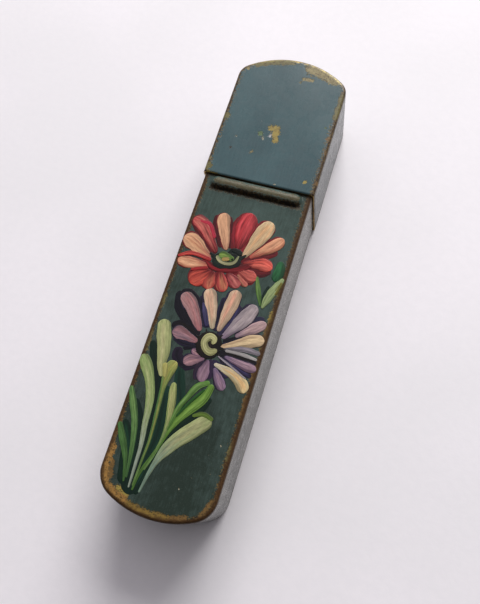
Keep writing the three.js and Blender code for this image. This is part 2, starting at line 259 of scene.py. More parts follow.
print("distance from the middle of the foot's arch:",
      rim_distance(BODY, np.array([0.0]), np.array([BODY["tip"] + 2]))[0])

# %% [markdown]
# ## The sheet's own shape
# Hand-worked sheet is never dead flat, and a slow wave of a few hundredths of a millimetre is
# what breaks up its reflections. The wave dies out on the neck, where the cap has to slide.
# The bead is a long round-ended ridge, pressed out from inside, with a soft fillet at its base.

# %% Waves and the bead
BEAD_WIDTH, BEAD_HEIGHT, BEAD_LENGTH = 2.3, 0.75, 15.5
BEAD_Y = SEAM_Y - 1.3
BEAD_R = ((BEAD_WIDTH / 2) ** 2 + BEAD_HEIGHT ** 2) / (2 * BEAD_HEIGHT)


def bead_height(x, y):
    """Height of the bead: a circle's arc over the distance to its straight spine.

    The foot of the arc is eased into the sheet by a short parabola."""
    ease = 0.1
    past_end = np.maximum(np.abs(x) - (BEAD_LENGTH - BEAD_WIDTH) / 2, 0)
    away = np.hypot(past_end, y - BEAD_Y)
    raw = np.sqrt(np.maximum(BEAD_R ** 2 - away ** 2, 0)) - (BEAD_R - BEAD_HEIGHT)
    return np.where(np.abs(raw) < ease, (raw + ease) ** 2 / (4 * ease), np.maximum(raw, 0))


def slow_wave(x, y):
    """Sum of three slow sine waves in x and y, about 0.03 either way."""
    return (0.014 * np.sin(0.34 * x + 1.1) * np.sin(0.21 * y + 0.4)
            + 0.010 * np.sin(0.11 * x - 0.37 * y) + 0.006 * np.sin(0.8 * x + 0.5 * y + 2))


def body_relief(x, y):
    """The body's front above its nominal face: waves below the neck, and the bead."""
    return slow_wave(x, y) * smoothstep(SEAM_Y - 1, SEAM_Y - 6, y) + bead_height(x, y)


def cap_relief(x, y):
    """The cap's waves only go outward, so it never touches the neck inside it."""
    return 0.03 + slow_wave(x, y)


def flat(x, y):
    """No relief."""
    return np.zeros_like(x)


def painted_height(x, y):
    """Height of the body's painted front, round its edge too: the face and its relief, less
    the drop of a quarter circle where the point is within the edge radius of the outline."""
    into_edge = np.clip(EDGE_R - rim_distance(BODY, x, y), 0, EDGE_R * 0.98)
    drop = EDGE_R - np.sqrt(EDGE_R ** 2 - into_edge ** 2)
    return BODY_FACE + body_relief(x, y) - drop


print(f"bead stands {painted_height(np.array([0.0]), np.array([BEAD_Y]))[0] - CAP_FACE:.2f} above the cap")

# %% [markdown]
# ## Where the paint has gone, and two painted shadow lines
# Enamel goes first where hands and pockets rub: round the rim, and at knocks on the faces.
# Each mark is a short brush line with a radius and a colour. Its strength falls off with the
# distance from that line, and the enamel's own noise later makes the edge of it ragged.
# Marks are placed from the cap's edge, y up toward the crown. Two dark lines among the body's marks are
# not wear but painted shadow: one under the bead, and one under the cap's edge.

# %% Worn marks and painted shadow lines
OLIVE, TAN, GOLD, OCHRE = (108, 102, 62), (142, 130, 88), (150, 132, 66), (112, 86, 48)
AMBER, UMBER_GOLD = (152, 114, 60), (124, 100, 48)
PALE, WHITE, DARK, MOSS = (176, 172, 150), (212, 212, 214), (40, 40, 38), (92, 120, 84)
CAP_MARKS = [
    (TAN, 0.9, [(2.4, 22.9), (4.6, 22.4), (7.4, 21.5)]), (TAN, 0.34, [(2.0, 20.8), (3.4, 20.75)]),
    (TAN, 0.3, [(5.1, 21.5)]), (OLIVE, 0.24, [(1.5, 20.0)]), (OLIVE, 0.3, [(-0.5, 23.3)]),
    (OLIVE, 0.5, [(-6.6, 21.9), (-4.0, 23.0), (-1.0, 23.5)]), (TAN, 0.35, [(-8.05, 20.9)]),
    (GOLD, 0.62, [(-0.7, 10.35), (0.1, 10.4), (0.3, 9.6)]), (GOLD, 0.55, [(0.2, 9.4), (0.5, 8.3)]),
    (WHITE, 0.3, [(-0.6, 8.9)]), (MOSS, 0.5, [(-2.1, 8.9)]), (WHITE, 0.22, [(-2.8, 11.0)]),
    (PALE, 0.26, [(-1.6, 8.1)]), (OLIVE, 0.7, [(-8.9, 11.0)]), (PALE, 0.22, [(-6.1, 7.6)]),
    (DARK, 0.24, [(-6.4, 5.25)]), (TAN, 0.36, [(-2.75, 5.25)]), (TAN, 0.26, [(-9.1, 2.75)]),
    (OLIVE, 0.65, [(-8.9, 1.25)]), (GOLD, 0.2, [(-9.0, 0.15), (-6.8, 0.12)]),
    (GOLD, 0.34, [(7.4, 2.0)]), (PALE, 0.22, [(2.75, 0.5)]), (OCHRE, 0.4, [(9.3, 2.25)]),
    (OCHRE, 0.42, [(8.9, 10.5)]), (OCHRE, 0.4, [(9.3, 8.0)]), (MOSS, 0.26, [(8.0, 12.5)]),
    (OLIVE, 0.4, [(9.0, 14.6), (9.1, 19.0)]),
]
BODY_MARKS = [
    (AMBER, 0.62, [(-8.4, -46.6), (-8.4, -49.4), (-7.9, -51.0)]),
    (OCHRE, 0.42, [(-7.6, -48.8), (-7.2, -50.6)]),
    (AMBER, 0.6, [(-7.3, -51.8), (-5.6, -52.7), (-4.0, -53.1)]),
    (GOLD, 0.4, [(-5.6, -51.8), (-4.0, -52.3)]),
    (UMBER_GOLD, 0.46, [(-3.4, -53.5), (0.0, -53.9), (3.0, -53.6)]),
    (OCHRE, 0.38, [(3.2, -53.5), (5.4, -52.9)]),
    (OCHRE, 0.32, [(7.3, -51.9), (8.4, -49.5)]), (OLIVE, 0.4, [(-8.6, -22.0), (-8.7, -24.0)]),
    (OLIVE, 0.4, [(-8.8, -28.0), (-8.6, -31.0)]), (OCHRE, 0.42, [(-8.8, -41.5), (-8.7, -46.0)]),
    (OLIVE, 0.3, [(8.7, -15.2), (8.6, -17.5)]), (GOLD, 0.34, [(8.5, -20.4), (8.6, -21.6)]),
    (OCHRE, 0.36, [(8.6, -22.4), (8.5, -25.0)]), (OCHRE, 0.42, [(8.6, -29.4), (8.5, -31.2)]),
    (OCHRE, 0.32, [(8.6, -34.0), (8.7, -37.0)]), (OLIVE, 0.3, [(8.7, -41.0), (8.6, -43.5)]),
    # Painted shadow: the dark line at y -2.3 is the shadow under the bead's lower side, and the dark line
    # at y -0.1 on the next line is the shadow under the cap's edge. The olive line along the bead's crown
    # is wear.
    ((84, 82, 62), 0.5, [(-6.6, -1.2), (6.8, -1.2)]), ((30, 28, 24), 0.5, [(-7.2, -2.3), (7.4, -2.3)]),
    ((34, 36, 34), 0.22, [(-8.4, -0.1), (8.4, -0.1)]), (PALE, 0.12, [(7.2, -41.8)]),
    (PALE, 0.1, [(5.9, -43.6)]), (PALE, 0.12, [(6.8, -46.1)]),
    (PALE, 0.1, [(4.4, -47.2)]), (PALE, 0.11, [(7.8, -37.4)]), (PALE, 0.1, [(3.2, -49.4)]),
]


def line_distance(x, y, path):
    """Distance from each point to a broken line, the least over its straight pieces.

    On a piece, the nearest place is the foot of the perpendicular, held between its ends."""
    nearest = np.full(np.shape(x), 1e9)
    ends = path[1:] if len(path) > 1 else path
    for (ax, ay), (bx, by) in zip(path, ends):
        dx, dy = bx - ax, by - ay
        along = np.clip(((x - ax) * dx + (y - ay) * dy) / max(dx * dx + dy * dy, 1e-9), 0, 1)
        nearest = np.minimum(nearest, np.hypot(x - ax - along * dx, y - ay - along * dy))
    return nearest


def wear_and_shadow_tints(x, y, marks):
    """Colour of the nearest mark, and in alpha its strength: 1 on its line, 1/2 at its radius."""
    tint = np.zeros((len(x), 4))
    for color, radius, path in marks:
        strength = 1 - line_distance(x, y - SEAM_Y, path) / (2 * radius)
        win = strength > tint[:, 3]
        tint[win, :3] = linear(*color)
        tint[win, 3] = strength[win]
    return tint


print(len(CAP_MARKS), "marks on the cap,", len(BODY_MARKS), "on the body")

# %% [markdown]
# ## Finishes
# A short set of words for shader nodes keeps each finish readable. Scales are given per
# millimetre. Values that are the same all over a surface are set straight on the shader.


# %% Words for shader nodes
class Finish:
    """A material with one Principled shader, and short calls for the nodes that feed it."""

    def __init__(self, name, **sockets):
        self.material = bpy.data.materials.new(name)
        self.material.use_nodes = True
        self.tree = self.material.node_tree
        self.shader = self.tree.nodes["Principled BSDF"]
        for key, value in sockets.items():
            self.shader.inputs[key.replace("_", " ")].default_value = value

    def put(self, kind, *values, **settings):
        """Adds a node; values go to its first sockets, as numbers, colours or links."""
        node = self.tree.nodes.new(kind)
        for key, value in settings.items():
            setattr(node, key, value)
        for socket, value in zip(node.inputs, values):
            self.feed(socket, value)
        return node

    def feed(self, socket, value):
        """Links an output to a socket, or sets the socket to a plain value."""
        if isinstance(value, bpy.types.NodeSocket):
            self.tree.links.new(value, socket)
        elif value is not None:
            if np.ndim(value) and socket.type == "RGBA":
                value = (*tuple(value)[:3], 1)
            socket.default_value = value

    def place(self):
        """The point on the piece, in its own coordinates."""
        return self.put("ShaderNodeTexCoord").outputs["Object"]

    def stretched(self, x, y, z, source=None):
        """The piece's coordinates scaled along each axis."""
        node = self.put("ShaderNodeMapping", source or self.place())
        node.inputs["Scale"].default_value = (x, y, z)
        return node.outputs[0]

    def noise(self, per_mm, detail=3, roughness=0.55, at=None, warp=0.0):
        """Soft noise from 0 to 1 with so many blobs to a millimetre."""
        node = self.put("ShaderNodeTexNoise")
        self.feed(node.inputs["Vector"], at or self.place())
        for key, value in (("Scale", per_mm / MM), ("Detail", detail), ("Roughness", roughness),
                           ("Distortion", warp)):
            node.inputs[key].default_value = value
        return node.outputs["Fac"]

    def math(self, operation, a, b=0.0):
        """A sum, product or other plain operation."""
        return self.put("ShaderNodeMath", a, b, operation=operation).outputs[0]

    def span(self, value, low, high, to_low=0.0, to_high=1.0):
        """Carries low..high smoothly to to_low..to_high, and holds it outside."""
        node = self.put("ShaderNodeMapRange", value, low, high, to_low, to_high,
                        interpolation_type="SMOOTHSTEP")
        return node.outputs[0]

    def mix(self, share, a, b, blend="MIX"):
        """Colour a, going over to colour b."""
        node = self.put("ShaderNodeMix", data_type="RGBA", blend_type=blend)
        for key, value in ((0, share), (6, a), (7, b)):
            self.feed(node.inputs[key], value)
        return node.outputs[2]

    def read(self, name):
        """An attribute stored on the piece's points."""
        return self.put("ShaderNodeAttribute", attribute_name=name).outputs

    def bump(self, height, depth, normal=None):
        """Fine relief, its full height so many millimetres."""
        node = self.put("ShaderNodeBump")
        self.feed(node.inputs["Height"], height)
        self.feed(node.inputs["Normal"], normal)
        node.inputs["Distance"].default_value = depth * MM
        return node.outputs[0]

    def wear(self, **links):
        """Connects the finished values to the shader."""
        for key, value in links.items():
            self.feed(self.shader.inputs[key.replace("_", " ")], value)
        return self.material


print("finish words ready")

# %% [markdown]
# ## Enamel on brass
# One coat of air-dried enamel lies on brass that has gone brown. So the finish has three
# layers that are chosen point by point: the enamel, the browned metal under it round the rim,
# and the metal that rubbing has made golden again. An attribute called `edge` says how far
# past the flat face a point is, and `gild` how golden the rim is there.


# %% Worn enamel
def worn_enamel(name, light, deep, painted_shade_to_foot, rim_reach=0.0, soft=0.06, rim_line=0.0,
                specular=0.32):
    """Enamel of a light and a deep shade. Its fourth argument is how far it deepens toward the foot:
    painted shade, darker where less of the window's sheen falls.

    soft is half the width of a mark's edge, and rim_line how strong the brown line on the
    rounded edge is, which lies over the chips."""
    f = Finish(name, Metallic=0.0, IOR=1.5, Specular_IOR_Level=specular)
    edge = f.read("edge")["Fac"]
    gild = f.read("gild")["Fac"]
    marks = f.read("marks")
    drift = f.noise(0.11, 2, at=f.stretched(1.0, 0.6, 1.0))
    cloud = f.noise(0.9, 4, 0.6)
    grain = f.noise(9.0, 2, 0.6)
    brushed = f.noise(1.4, 3, at=f.stretched(3.0, 0.35, 3.0))
    along = f.put("ShaderNodeSeparateXYZ", f.place()).outputs["Y"]
    # Painted shade: the enamel goes over to its deep shade from the neck toward the foot.
    painted_foot_shade = f.span(along, 16 * MM, -36 * MM, 0.0, painted_shade_to_foot)
    tone = f.math("ADD", f.span(drift, 0.36, 0.64, 0, 0.32), f.span(cloud, 0.3, 0.7, 0, 0.3))
    tone = f.math("ADD", tone, f.span(brushed, 0.3, 0.7, 0, 0.26))
    tone = f.math("ADD", tone, painted_foot_shade)
    enamel = f.mix(tone, linear(*light), linear(*deep))
    enamel = f.mix(f.span(grain, 0.6, 0.76, 0, 0.24), enamel, linear(140, 146, 136))
    enamel = f.mix(f.span(f.noise(3.2, 3, 0.7), 0.6, 0.74, 0, 0.36), enamel, linear(46, 50, 44))

    ragged = f.math("MULTIPLY_ADD", f.noise(1.1, 5, 0.68), 1.5)
    ragged.node.inputs[2].default_value = -0.75
    reach = f.math("ADD", edge, ragged)
    bare = f.span(reach, -0.24 - rim_reach, 0.1 - rim_reach)
    hidden = f.span(edge, 0.85, 1.1, 1, 0)
    bare = f.math("MULTIPLY", bare, hidden)
    rubbed = f.math("ADD", f.noise(0.8, 4, 0.7), gild)
    golden = f.span(rubbed, 0.98, 1.16)
    browned = f.mix(f.noise(3.0, 3), linear(34, 24, 14), linear(66, 48, 30))
    brassy = f.mix(f.noise(2.2, 4, 0.7), linear(96, 82, 44), linear(158, 138, 84))
    metal = f.mix(golden, browned, brassy)

    broad = f.math("MULTIPLY", f.noise(1.3, 3, 0.6), 0.9)
    small = f.math("MULTIPLY", f.noise(4.6, 3, 0.65), 1.3)
    jag = f.math("SUBTRACT", f.math("ADD", broad, small), 1.12)
    # The marks' colours go on here. Most are worn places, and the body's two dark lines under the bead and
    # under the cap's edge are painted shadow.
    chip_and_shadow_mask = f.span(f.math("ADD", marks["Alpha"], jag), 0.5 - soft, 0.5 + soft)
    chip_and_shadow_color = f.mix(f.span(f.noise(5.2, 3), 0.4, 0.62), marks["Color"], linear(74, 58, 34))
    chip_and_shadow_color = f.mix(f.span(f.noise(1.9, 2), 0.4, 0.64), chip_and_shadow_color, marks["Color"])
    near_rim = f.span(edge, -1.5, -0.1, -0.3, 0.1)
    specks = f.span(f.math("ADD", f.noise(3.8, 3, 0.6), near_rim), 0.6, 0.68)
    specks = f.math("MULTIPLY", specks, hidden)
    chip_shadow_or_speck_color = f.mix(chip_and_shadow_mask, f.mix(f.noise(1.0, 2), linear(92, 84, 48), linear(124, 96, 52)), chip_and_shadow_color)
    color = f.mix(bare, enamel, metal)
    chip_and_shadow_mask = f.math("MAXIMUM", chip_and_shadow_mask, f.math("MULTIPLY", specks, 0.85))
    color = f.mix(chip_and_shadow_mask, color, chip_shadow_or_speck_color)
    ripple = f.math("ADD", edge, f.span(f.noise(1.6, 3), 0.3, 0.7, -0.14, 0.14))
    line = f.math("MULTIPLY", f.span(ripple, -0.34, 0.12, 0, rim_line), hidden)
    umber = f.mix(f.noise(2.4, 3), linear(44, 28, 14), linear(82, 56, 30))
    color = f.mix(line, color, umber)

    lost = f.math("MAXIMUM", bare, chip_and_shadow_mask)
    gloss = f.span(cloud, 0.3, 0.7, 0.24, 0.34)
    rough = f.math("ADD", gloss, f.math("MULTIPLY", lost, 0.1))
    metallic = f.math("MULTIPLY", f.math("MULTIPLY", bare, golden), 0.45)
    film = f.math("MULTIPLY_ADD", lost, -1.0)
    film.node.inputs[2].default_value = 1.0
    skin = f.bump(f.math("ADD", cloud, f.math("MULTIPLY", brushed, 0.6)), 0.012)
    relief = f.bump(film, 0.03, skin)
    return f.wear(Base_Color=color, Roughness=rough, Metallic=metallic, Normal=relief)


# The body's front and side enamels deepen toward the foot by their fourth number, which is painted shade.
body_enamel = worn_enamel("body_enamel", (71, 88, 83), (37, 49, 42), 0.42, 0.16, 0.15, 0.85, 0.2)
cap_enamel = worn_enamel("cap_enamel", (70, 95, 99), (50, 72, 77), 0.0)
# Painted reflection: the side bands' pale grey is partly the pale floor mirrored in them at a grazing
# angle, painted into their colour.
body_side_enamel = worn_enamel("body_side_enamel", (146, 145, 139), (84, 84, 79), 0.4)
cap_side_enamel = worn_enamel("cap_side_enamel", (116, 120, 118), (76, 80, 80), 0.0)
print("enamels:", body_enamel.name, cap_enamel.name, "and two floor_reflecting ones for the sides")


# %% Bare metals
def bare_metal(name, base, tarnish, roughness, haze_share):
    """Brass or steel: a base colour with blotches of tarnish and fine rubbing marks."""
    f = Finish(name, Metallic=1.0)
    blotch = f.span(f.noise(0.35, 5, 0.62), 0.42, 0.66, 0, haze_share)
    fine = f.noise(5.0, 3, at=f.stretched(1.0, 0.12, 1.0))
    color = f.mix(blotch, linear(*base), linear(*tarnish))
    color = f.mix(f.span(fine, 0.35, 0.75, 0, 0.2), color, linear(*tarnish))
    rough = f.math("ADD", f.span(fine, 0.2, 0.8, roughness - 0.05, roughness + 0.09),
                   f.math("MULTIPLY", blotch, 0.16))
    return f.wear(Base_Color=color, Roughness=rough, Normal=f.bump(fine, 0.004))


inner_brass = bare_metal("aged_inner_brass", (176, 144, 84), (88, 64, 34), 0.36, 0.85)
turned_brass = bare_metal("turned_brass", (192, 158, 96), (108, 82, 46), 0.3, 0.75)
cup_brass = bare_metal("bright_cup_brass", (226, 196, 130), (160, 128, 72), 0.18, 0.35)
spring_steel = bare_metal("spring_steel", (178, 180, 182), (98, 92, 84), 0.28, 0.4)
print("metals: 4")

# %% [markdown]
# ## Pressed plates
# Front and back are shallow trays: a face, a rounded edge and a short flange. The face is a
# grid whose columns end on the arch; a second grid carries a quarter circle and the flange
# round the outline. A Solidify modifier then gives the sheet its 0.3 mm, and puts bare brass
# on the inside and on the cut edge.


# %% Plate builder
def plate_rows(shape, fine):
    """y of the straight rows from the open end to the corner's start, closer where fine says."""
    corner_y = arcs(shape)[3]
    coarse = np.linspace(shape["open_y"], corner_y, 2 + int(abs(shape["open_y"] - corner_y) / 0.42))
    rows = np.unique(np.round(np.concatenate([coarse, fine]), 4))
    return rows[::-1] if corner_y < shape["open_y"] else rows


def plate(name, shape, face_z, side, relief, marks, fine=(), gild=0.3):
    """Points run over the face, then along the edge's quarter circle and the flange.

    On the face, x is the end line's and y goes from the open end to that line. On the edge, a
    point is the inset outline plus its normal times R sin a, and it drops by R - R cos a."""
    rows = plate_rows(shape, fine)
    end, end_normal = end_line(shape)
    inner = end - EDGE_R * end_normal
    blend = np.linspace(0, 1, 26)[1:, None]
    y_straight = np.tile(rows[:, None], (1, len(inner)))
    y_end = rows[-1] + blend * (inner[None, :, 1] - rows[-1])
    y = np.concatenate([y_straight, y_end])
    x = np.tile(inner[:, 0], (len(y), 1))
    face = np.stack([x, y, face_z + side * relief(x, y)], -1)
    line, normal = whole_line(shape, rows)
    angle = np.linspace(0, math.pi / 2, 8)
    out = np.concatenate([EDGE_R * np.sin(angle), [EDGE_R, EDGE_R]])
    down = np.concatenate([EDGE_R * (1 - np.cos(angle)), [(EDGE_R + FLANGE) / 2, FLANGE]])
    past = np.concatenate([EDGE_R * angle, EDGE_R * math.pi / 2 + down[-2:] - EDGE_R])
    base = line - EDGE_R * normal
    lift = relief(base[:, 0], base[:, 1])[:, None] * np.clip(1 - down / FLANGE, 0, 1)
    xy = base[:, None] + normal[:, None] * out[:, None]
    z = face_z + side * (lift - down)
    rim = np.concatenate([xy, z[..., None]], -1)
    points = np.concatenate([face.reshape(-1, 3), rim.reshape(-1, 3)])
    faces = np.concatenate([grid_faces(*x.shape),
                            grid_faces(*z.shape, start=x.size)[:, ::-1]])
    edge = np.concatenate([EDGE_R - rim_distance(shape, x, y).ravel(),
                           np.broadcast_to(past, z.shape).ravel()])
    gilding = gild(points[:, 0], points[:, 1]) if callable(gild) else np.full(len(points), gild)
    floats = {"edge": edge, "gild": gilding}
    tints = {"marks": wear_and_shadow_tints(points[:, 0], points[:, 1], marks)}
    return face_out(mesh_of(name, points, faces, floats, tints), (0, 0, side))


def thicken(piece):
    """Gives the sheet its thickness on the inside, with the second material there."""
    wall = piece.modifiers.new("sheet", "SOLIDIFY")
    wall.thickness = SHEET * MM
    wall.offset = -1
    wall.material_offset = 1
    wall.material_offset_rim = 1
    return piece


def cap_gild(x, y):
    """Rubbed golden along the crown, and less down the sides."""
    return 0.36 + 0.28 * smoothstep(SEAM_Y + 18, SEAM_Y + 23, y) - 0.06 * smoothstep(2, 9, x)


def body_gild(x, y):
    """Brown round the foot and up the right side, and more olive high on the left."""
    return 0.34 + 0.16 * (smoothstep(SEAM_Y - 52, SEAM_Y - 30, y) - 1) - 0.04 * smoothstep(0, 9, x)


fine_rows = np.arange(BEAD_Y - 1.7, BEAD_Y + 1.7, 0.11)
front = add_piece("painted_front", plate("painted_front", BODY, BODY_FACE, 1, body_relief,
                  BODY_MARKS, fine_rows, body_gild), "body", "body_paint", body_enamel,
                  inner_brass, stands_for=["body_front_plate"])
cap_front = add_piece("cap_front", plate("cap_front", CAP, CAP_FACE, 1, cap_relief,
                      CAP_MARKS, gild=cap_gild), "cap", "cap_paint", cap_enamel, inner_brass,
                      stands_for=["cap_front_plate"])
BACK_MARKS = [
    (OCHRE, 0.5, [(-6.8, -52.0), (-3.0, -53.6)]), (TAN, 0.3, [(2.2, -30.5), (2.9, -31.4)]),
    (OLIVE, 0.4, [(8.7, -18.0), (8.6, -22.0)]), (PALE, 0.2, [(-3.4, -12.2)]),
    (GOLD, 0.3, [(-4.4, -41.0)]), (OCHRE, 0.4, [(-8.7, -33.0), (-8.6, -36.0)]),
    (TAN, 0.5, [(-3.0, 22.9), (3.4, 22.8)]), (OLIVE, 0.34, [(4.6, 9.0), (5.2, 10.1)]),
]
body_back = add_piece("body_back", plate("body_back", BODY, STEP, -1, flat, BACK_MARKS,
                      gild=0.36), "body", "body_paint", body_enamel, inner_brass,
                      stands_for=["body_back_plate"])
cap_back = add_piece("cap_back", plate("cap_back", CAP, 0.0, -1, flat, BACK_MARKS, gild=0.42),
                     "cap", "cap_paint", cap_enamel, inner_brass, stands_for=["cap_back_plate"])
for piece in (front, cap_front, body_back, cap_back):
    thicken(piece)
    print(piece.name, len(piece.data.polygons), "faces on one side")

# %% [markdown]
# ## Brush strokes
# The flowers are painted the way folk painters do it: a round brush loaded with two colours
# is pressed, dragged toward the flower's eye and lifted, which leaves a drop-shaped ridge of
# paint. Each stroke here is its own low mound of paint, so light catches its edge and the
# hair marks along it. A stroke is a handful of points with the brush's width at each one.
# Its two colours, and the one it ends in, are stored on its points.


# %% One stroke
def smooth_path(knots, t):
    """A Catmull-Rom curve through the knots, t from 0 to 1 by the share of straight length."""
    knots = np.asarray(knots, float)
    reach = np.concatenate([[0], np.cumsum(np.hypot(*np.diff(knots[:, :2], axis=0).T))])
    reach /= reach[-1]
    padded = np.concatenate([2 * knots[:1] - knots[1:2], knots, 2 * knots[-1:] - knots[-2:-1]])
    i = np.clip(np.searchsorted(reach, t, "right") - 1, 0, len(knots) - 2)
    u = ((t - reach[i]) / (reach[i + 1] - reach[i]))[:, None]
    a, b, c, d = (padded[i + k] for k in range(4))
    return 0.5 * (2 * b + (c - a) * u + (2 * a - 5 * b + 4 * c - d) * u ** 2
                  + (3 * b - 3 * c + d - a) * u ** 3)


def round_end(t, share):
    """Width of a round end: a quarter circle over the first share of the stroke."""
    return np.sqrt(np.maximum(1 - (np.maximum(share - t, 0) / share) ** 2, 0))


def stroke(knots, ground, heart=None, tail=None, lean=0.15, lift=0.03, thick=0.045,
           seed=0.0, rows=34, cols=23, spread=1.0, shade=0.5, tail_from=0.6, hair=0.75):
    """A mound of paint along a curve of (x, y, width) knots; y is from the cap's edge.

    Across, s runs from -1 to 1 and the top is lift + thick * sqrt(1 - s^4), with hair marks
    as a sine of s. The underside lies just inside the sheet. The heart colour is a bell
    curve of s about lean, one side is darker by shade, and the tail colour comes in last.
    Single hairs of the brush leave thin lines of the tail colour, and of a paler one."""
    t = 0.5 - 0.5 * np.cos(np.linspace(0, math.pi, rows))
    path = smooth_path(knots, t)
    center, width = path[:, :2], np.maximum(spread * path[:, 2], 0.05)
    length = np.hypot(*np.diff(center, axis=0).T).sum()
    ends = (round_end(t, min(0.5, 0.5 * spread * knots[0][2] / length))
            * round_end(1 - t, min(0.5, 0.5 * spread * knots[-1][2] / length)))
    tangent = np.gradient(center, t, axis=0)
    tangent /= np.hypot(*tangent.T)[:, None]
    normal = np.stack([tangent[:, 1], -tangent[:, 0]], -1)
    s_top = -np.cos(np.linspace(0, math.pi, cols))
    s = np.concatenate([s_top, [0.6, 0.0, -0.6]])
    half = (width * ends / 2)[:, None]
    wobble = 1 + 0.05 * np.sin(9 * t + seed) + 0.03 * np.sin(23 * t + 2.3 * seed)
    xy = center[:, None] + (half * wobble[:, None] * s)[..., None] * normal[:, None]
    x, y = xy[..., 0], xy[..., 1] + SEAM_Y
    across = np.sqrt(np.maximum(1 - s ** 4, 0))
    body = (0.35 + 0.65 * width / width.max())[:, None] * np.sqrt(ends)[:, None]
    hairs = np.sin(6.3 * (2.1 * s + 0.3 * np.sin(4 * t + seed)[:, None]) + seed) * (1 - s ** 2)
    rise = lift + thick * body * (across + 0.22 * hairs)
    rise[:, cols:] = -0.03
    rise[[0, -1]] = 0.5 * lift
    z = painted_height(x, y) + rise
    heart = ground if heart is None else heart
    tail = ground if tail is None else tail
    in_heart = np.exp(-(((s - lean) / 0.42) ** 2)) * smoothstep(0.02, 0.16, t)[:, None]
    streaky = 0.5 + 0.5 * np.sin(5.1 * s + 2.6 * seed + 1.5 * np.sin(3 * t + seed)[:, None])
    in_heart = (in_heart * (0.55 + 0.45 * streaky))[..., None]
    tail_share = smoothstep(tail_from, min(1.0, tail_from + 0.5), t)[:, None]
    in_tail = (tail_share * (0.7 + 0.3 * streaky))[..., None]
    dim = 1 - shade * smoothstep(0.15, 1.0, -s + 0.25 * np.sin(5 * t + seed)[:, None])
    dim = (dim * (1 - 0.3 * shade * (1 - streaky)))[..., None]
    color = linear(*ground) * (1 - in_heart) + linear(*heart) * in_heart
    color = (color * (1 - in_tail) + linear(*tail) * in_tail) * dim
    hairs_drawn = 9
    dice = np.random.default_rng(int(100 * seed) + len(knots) + int(40 * abs(knots[0][0])))
    for number in range(hairs_drawn):
        place = dice.uniform(-0.85, 0.85)
        thin = dice.uniform(0.05, 0.12)
        begin = dice.uniform(0.1, 0.75)
        line = np.exp(-(((s - place - 0.06 * np.sin(5 * t + number)[:, None]) / thin) ** 2))
        if number % 3 == 2:
            line = line * (1 - smoothstep(begin - 0.1, begin + 0.3, t))[:, None]
            ink = 1.25 * linear(*heart)
        else:
            line = line * smoothstep(begin - 0.1, begin + 0.2, t)[:, None]
            ink = 0.7 * linear(*tail) if tail != ground else 0.5 * linear(*ground)
        share = (hair * (0.7 if number % 3 == 2 else 1.0) * line)[..., None]
        color = color * (1 - share) + ink * share
    color = np.concatenate([color, np.ones((*x.shape, 1))], -1)
    uv = np.stack([half * s + 3 * seed, np.broadcast_to(t[:, None] * length, x.shape)], -1)
    return np.stack([x, y, z], -1), color, uv


def petal(tip, belly, base, width, *colors, line=None, **more):
    """A drop-shaped stroke from its round tip through its widest place to its thin base.

    A line colour puts a slightly wider, thinner stroke under it, shifted up and to the left."""
    knots = [(*tip, 0.78 * width), (*belly, width),
             (*(0.4 * np.array(belly) + 0.6 * np.array(base)), 0.62 * width), (*base, 0.3 * width)]
    if line is None:
        return [stroke(knots, *colors, **more)]
    under = [(x - 0.12, y + 0.05, 1.04 * wide + 0.2) for x, y, wide in knots]
    return [stroke(under, line, lift=0.012, thick=0.015, shade=0.1, hair=0.1, cols=13),
            stroke(knots, *colors, **more)]


def spokes(center, reach, width, color, count):
    """Short dark strokes out of a flower's eye, at even angles with a little unevenness."""
    made = []
    for number in range(count):
        angle = 2 * math.pi * number / count + 0.12 * math.sin(5.0 * number)
        far = reach * (1 + 0.12 * math.sin(3.1 * number + 1))
        way = np.array([math.cos(angle), math.sin(angle)])
        inner, outer = np.array(center) + 0.8 * way, np.array(center) + far * way
        made.append(stroke([(*inner, width), (*(0.5 * (inner + outer)), 0.8 * width),
                            (*outer, 0.16 * width)], color, lift=0.06, thick=0.02, shade=0.1,
                           hair=0.1, seed=number, rows=16, cols=11))
    return made


def painting(name, strokes):
    """Joins strokes into one piece of paint on the body's front."""
    strokes = [one for group in strokes for one in (group if isinstance(group, list) else [group])]
    points, colors, uvs, faces, start = [], [], [], [], 0
    for co, color, uv in strokes:
        rows, loop = co.shape[:2]
        faces.append(grid_faces(rows, loop, closed=True, start=start))
        points.append(co.reshape(-1, 3))
        colors.append(color.reshape(-1, 4))
        uvs.append(uv.reshape(-1, 2))
        start += rows * loop
    mesh = mesh_of(name, np.concatenate(points), np.concatenate(faces),
                   tints={"tint": np.concatenate(colors)}, uv=np.concatenate(uvs), merge=0.0001)
    piece = add_piece(name, outward(mesh), "body", "body_paint", brush_paint)
    print(name, len(strokes), "strokes,", len(mesh.polygons), "faces")
    return piece


# %% The paint in the brush
def brushed_oil():
    """Oil paint: the stroke's own colours, combed by hair marks that follow the stroke."""
    f = Finish("brushed_oil_paint", IOR=1.48, Specular_IOR_Level=0.25)
    tint = f.read("tint")["Color"]
    uv = f.put("ShaderNodeUVMap", uv_map="UVMap").outputs[0]
    combed = f.noise(2.2 * MM, 4, 0.65, at=f.stretched(3.2, 0.32, 1, uv))
    shade = f.span(combed, 0.28, 0.72, 0.56, 0.98)
    color = f.mix(1.0, tint, f.put("ShaderNodeCombineColor", shade, shade, shade).outputs[0],
                  "MULTIPLY")
    rough = f.span(combed, 0.3, 0.7, 0.34, 0.5)
    return f.wear(Base_Color=color, Roughness=rough, Normal=f.bump(combed, 0.02))


brush_paint = brushed_oil()

# %% [markdown]
# ## The red daisy
# Fourteen petals go round a green eye, red and peach by turns. Dark red strokes go down first
# as shadows between them, and a crimson arc under the eye ties them together.

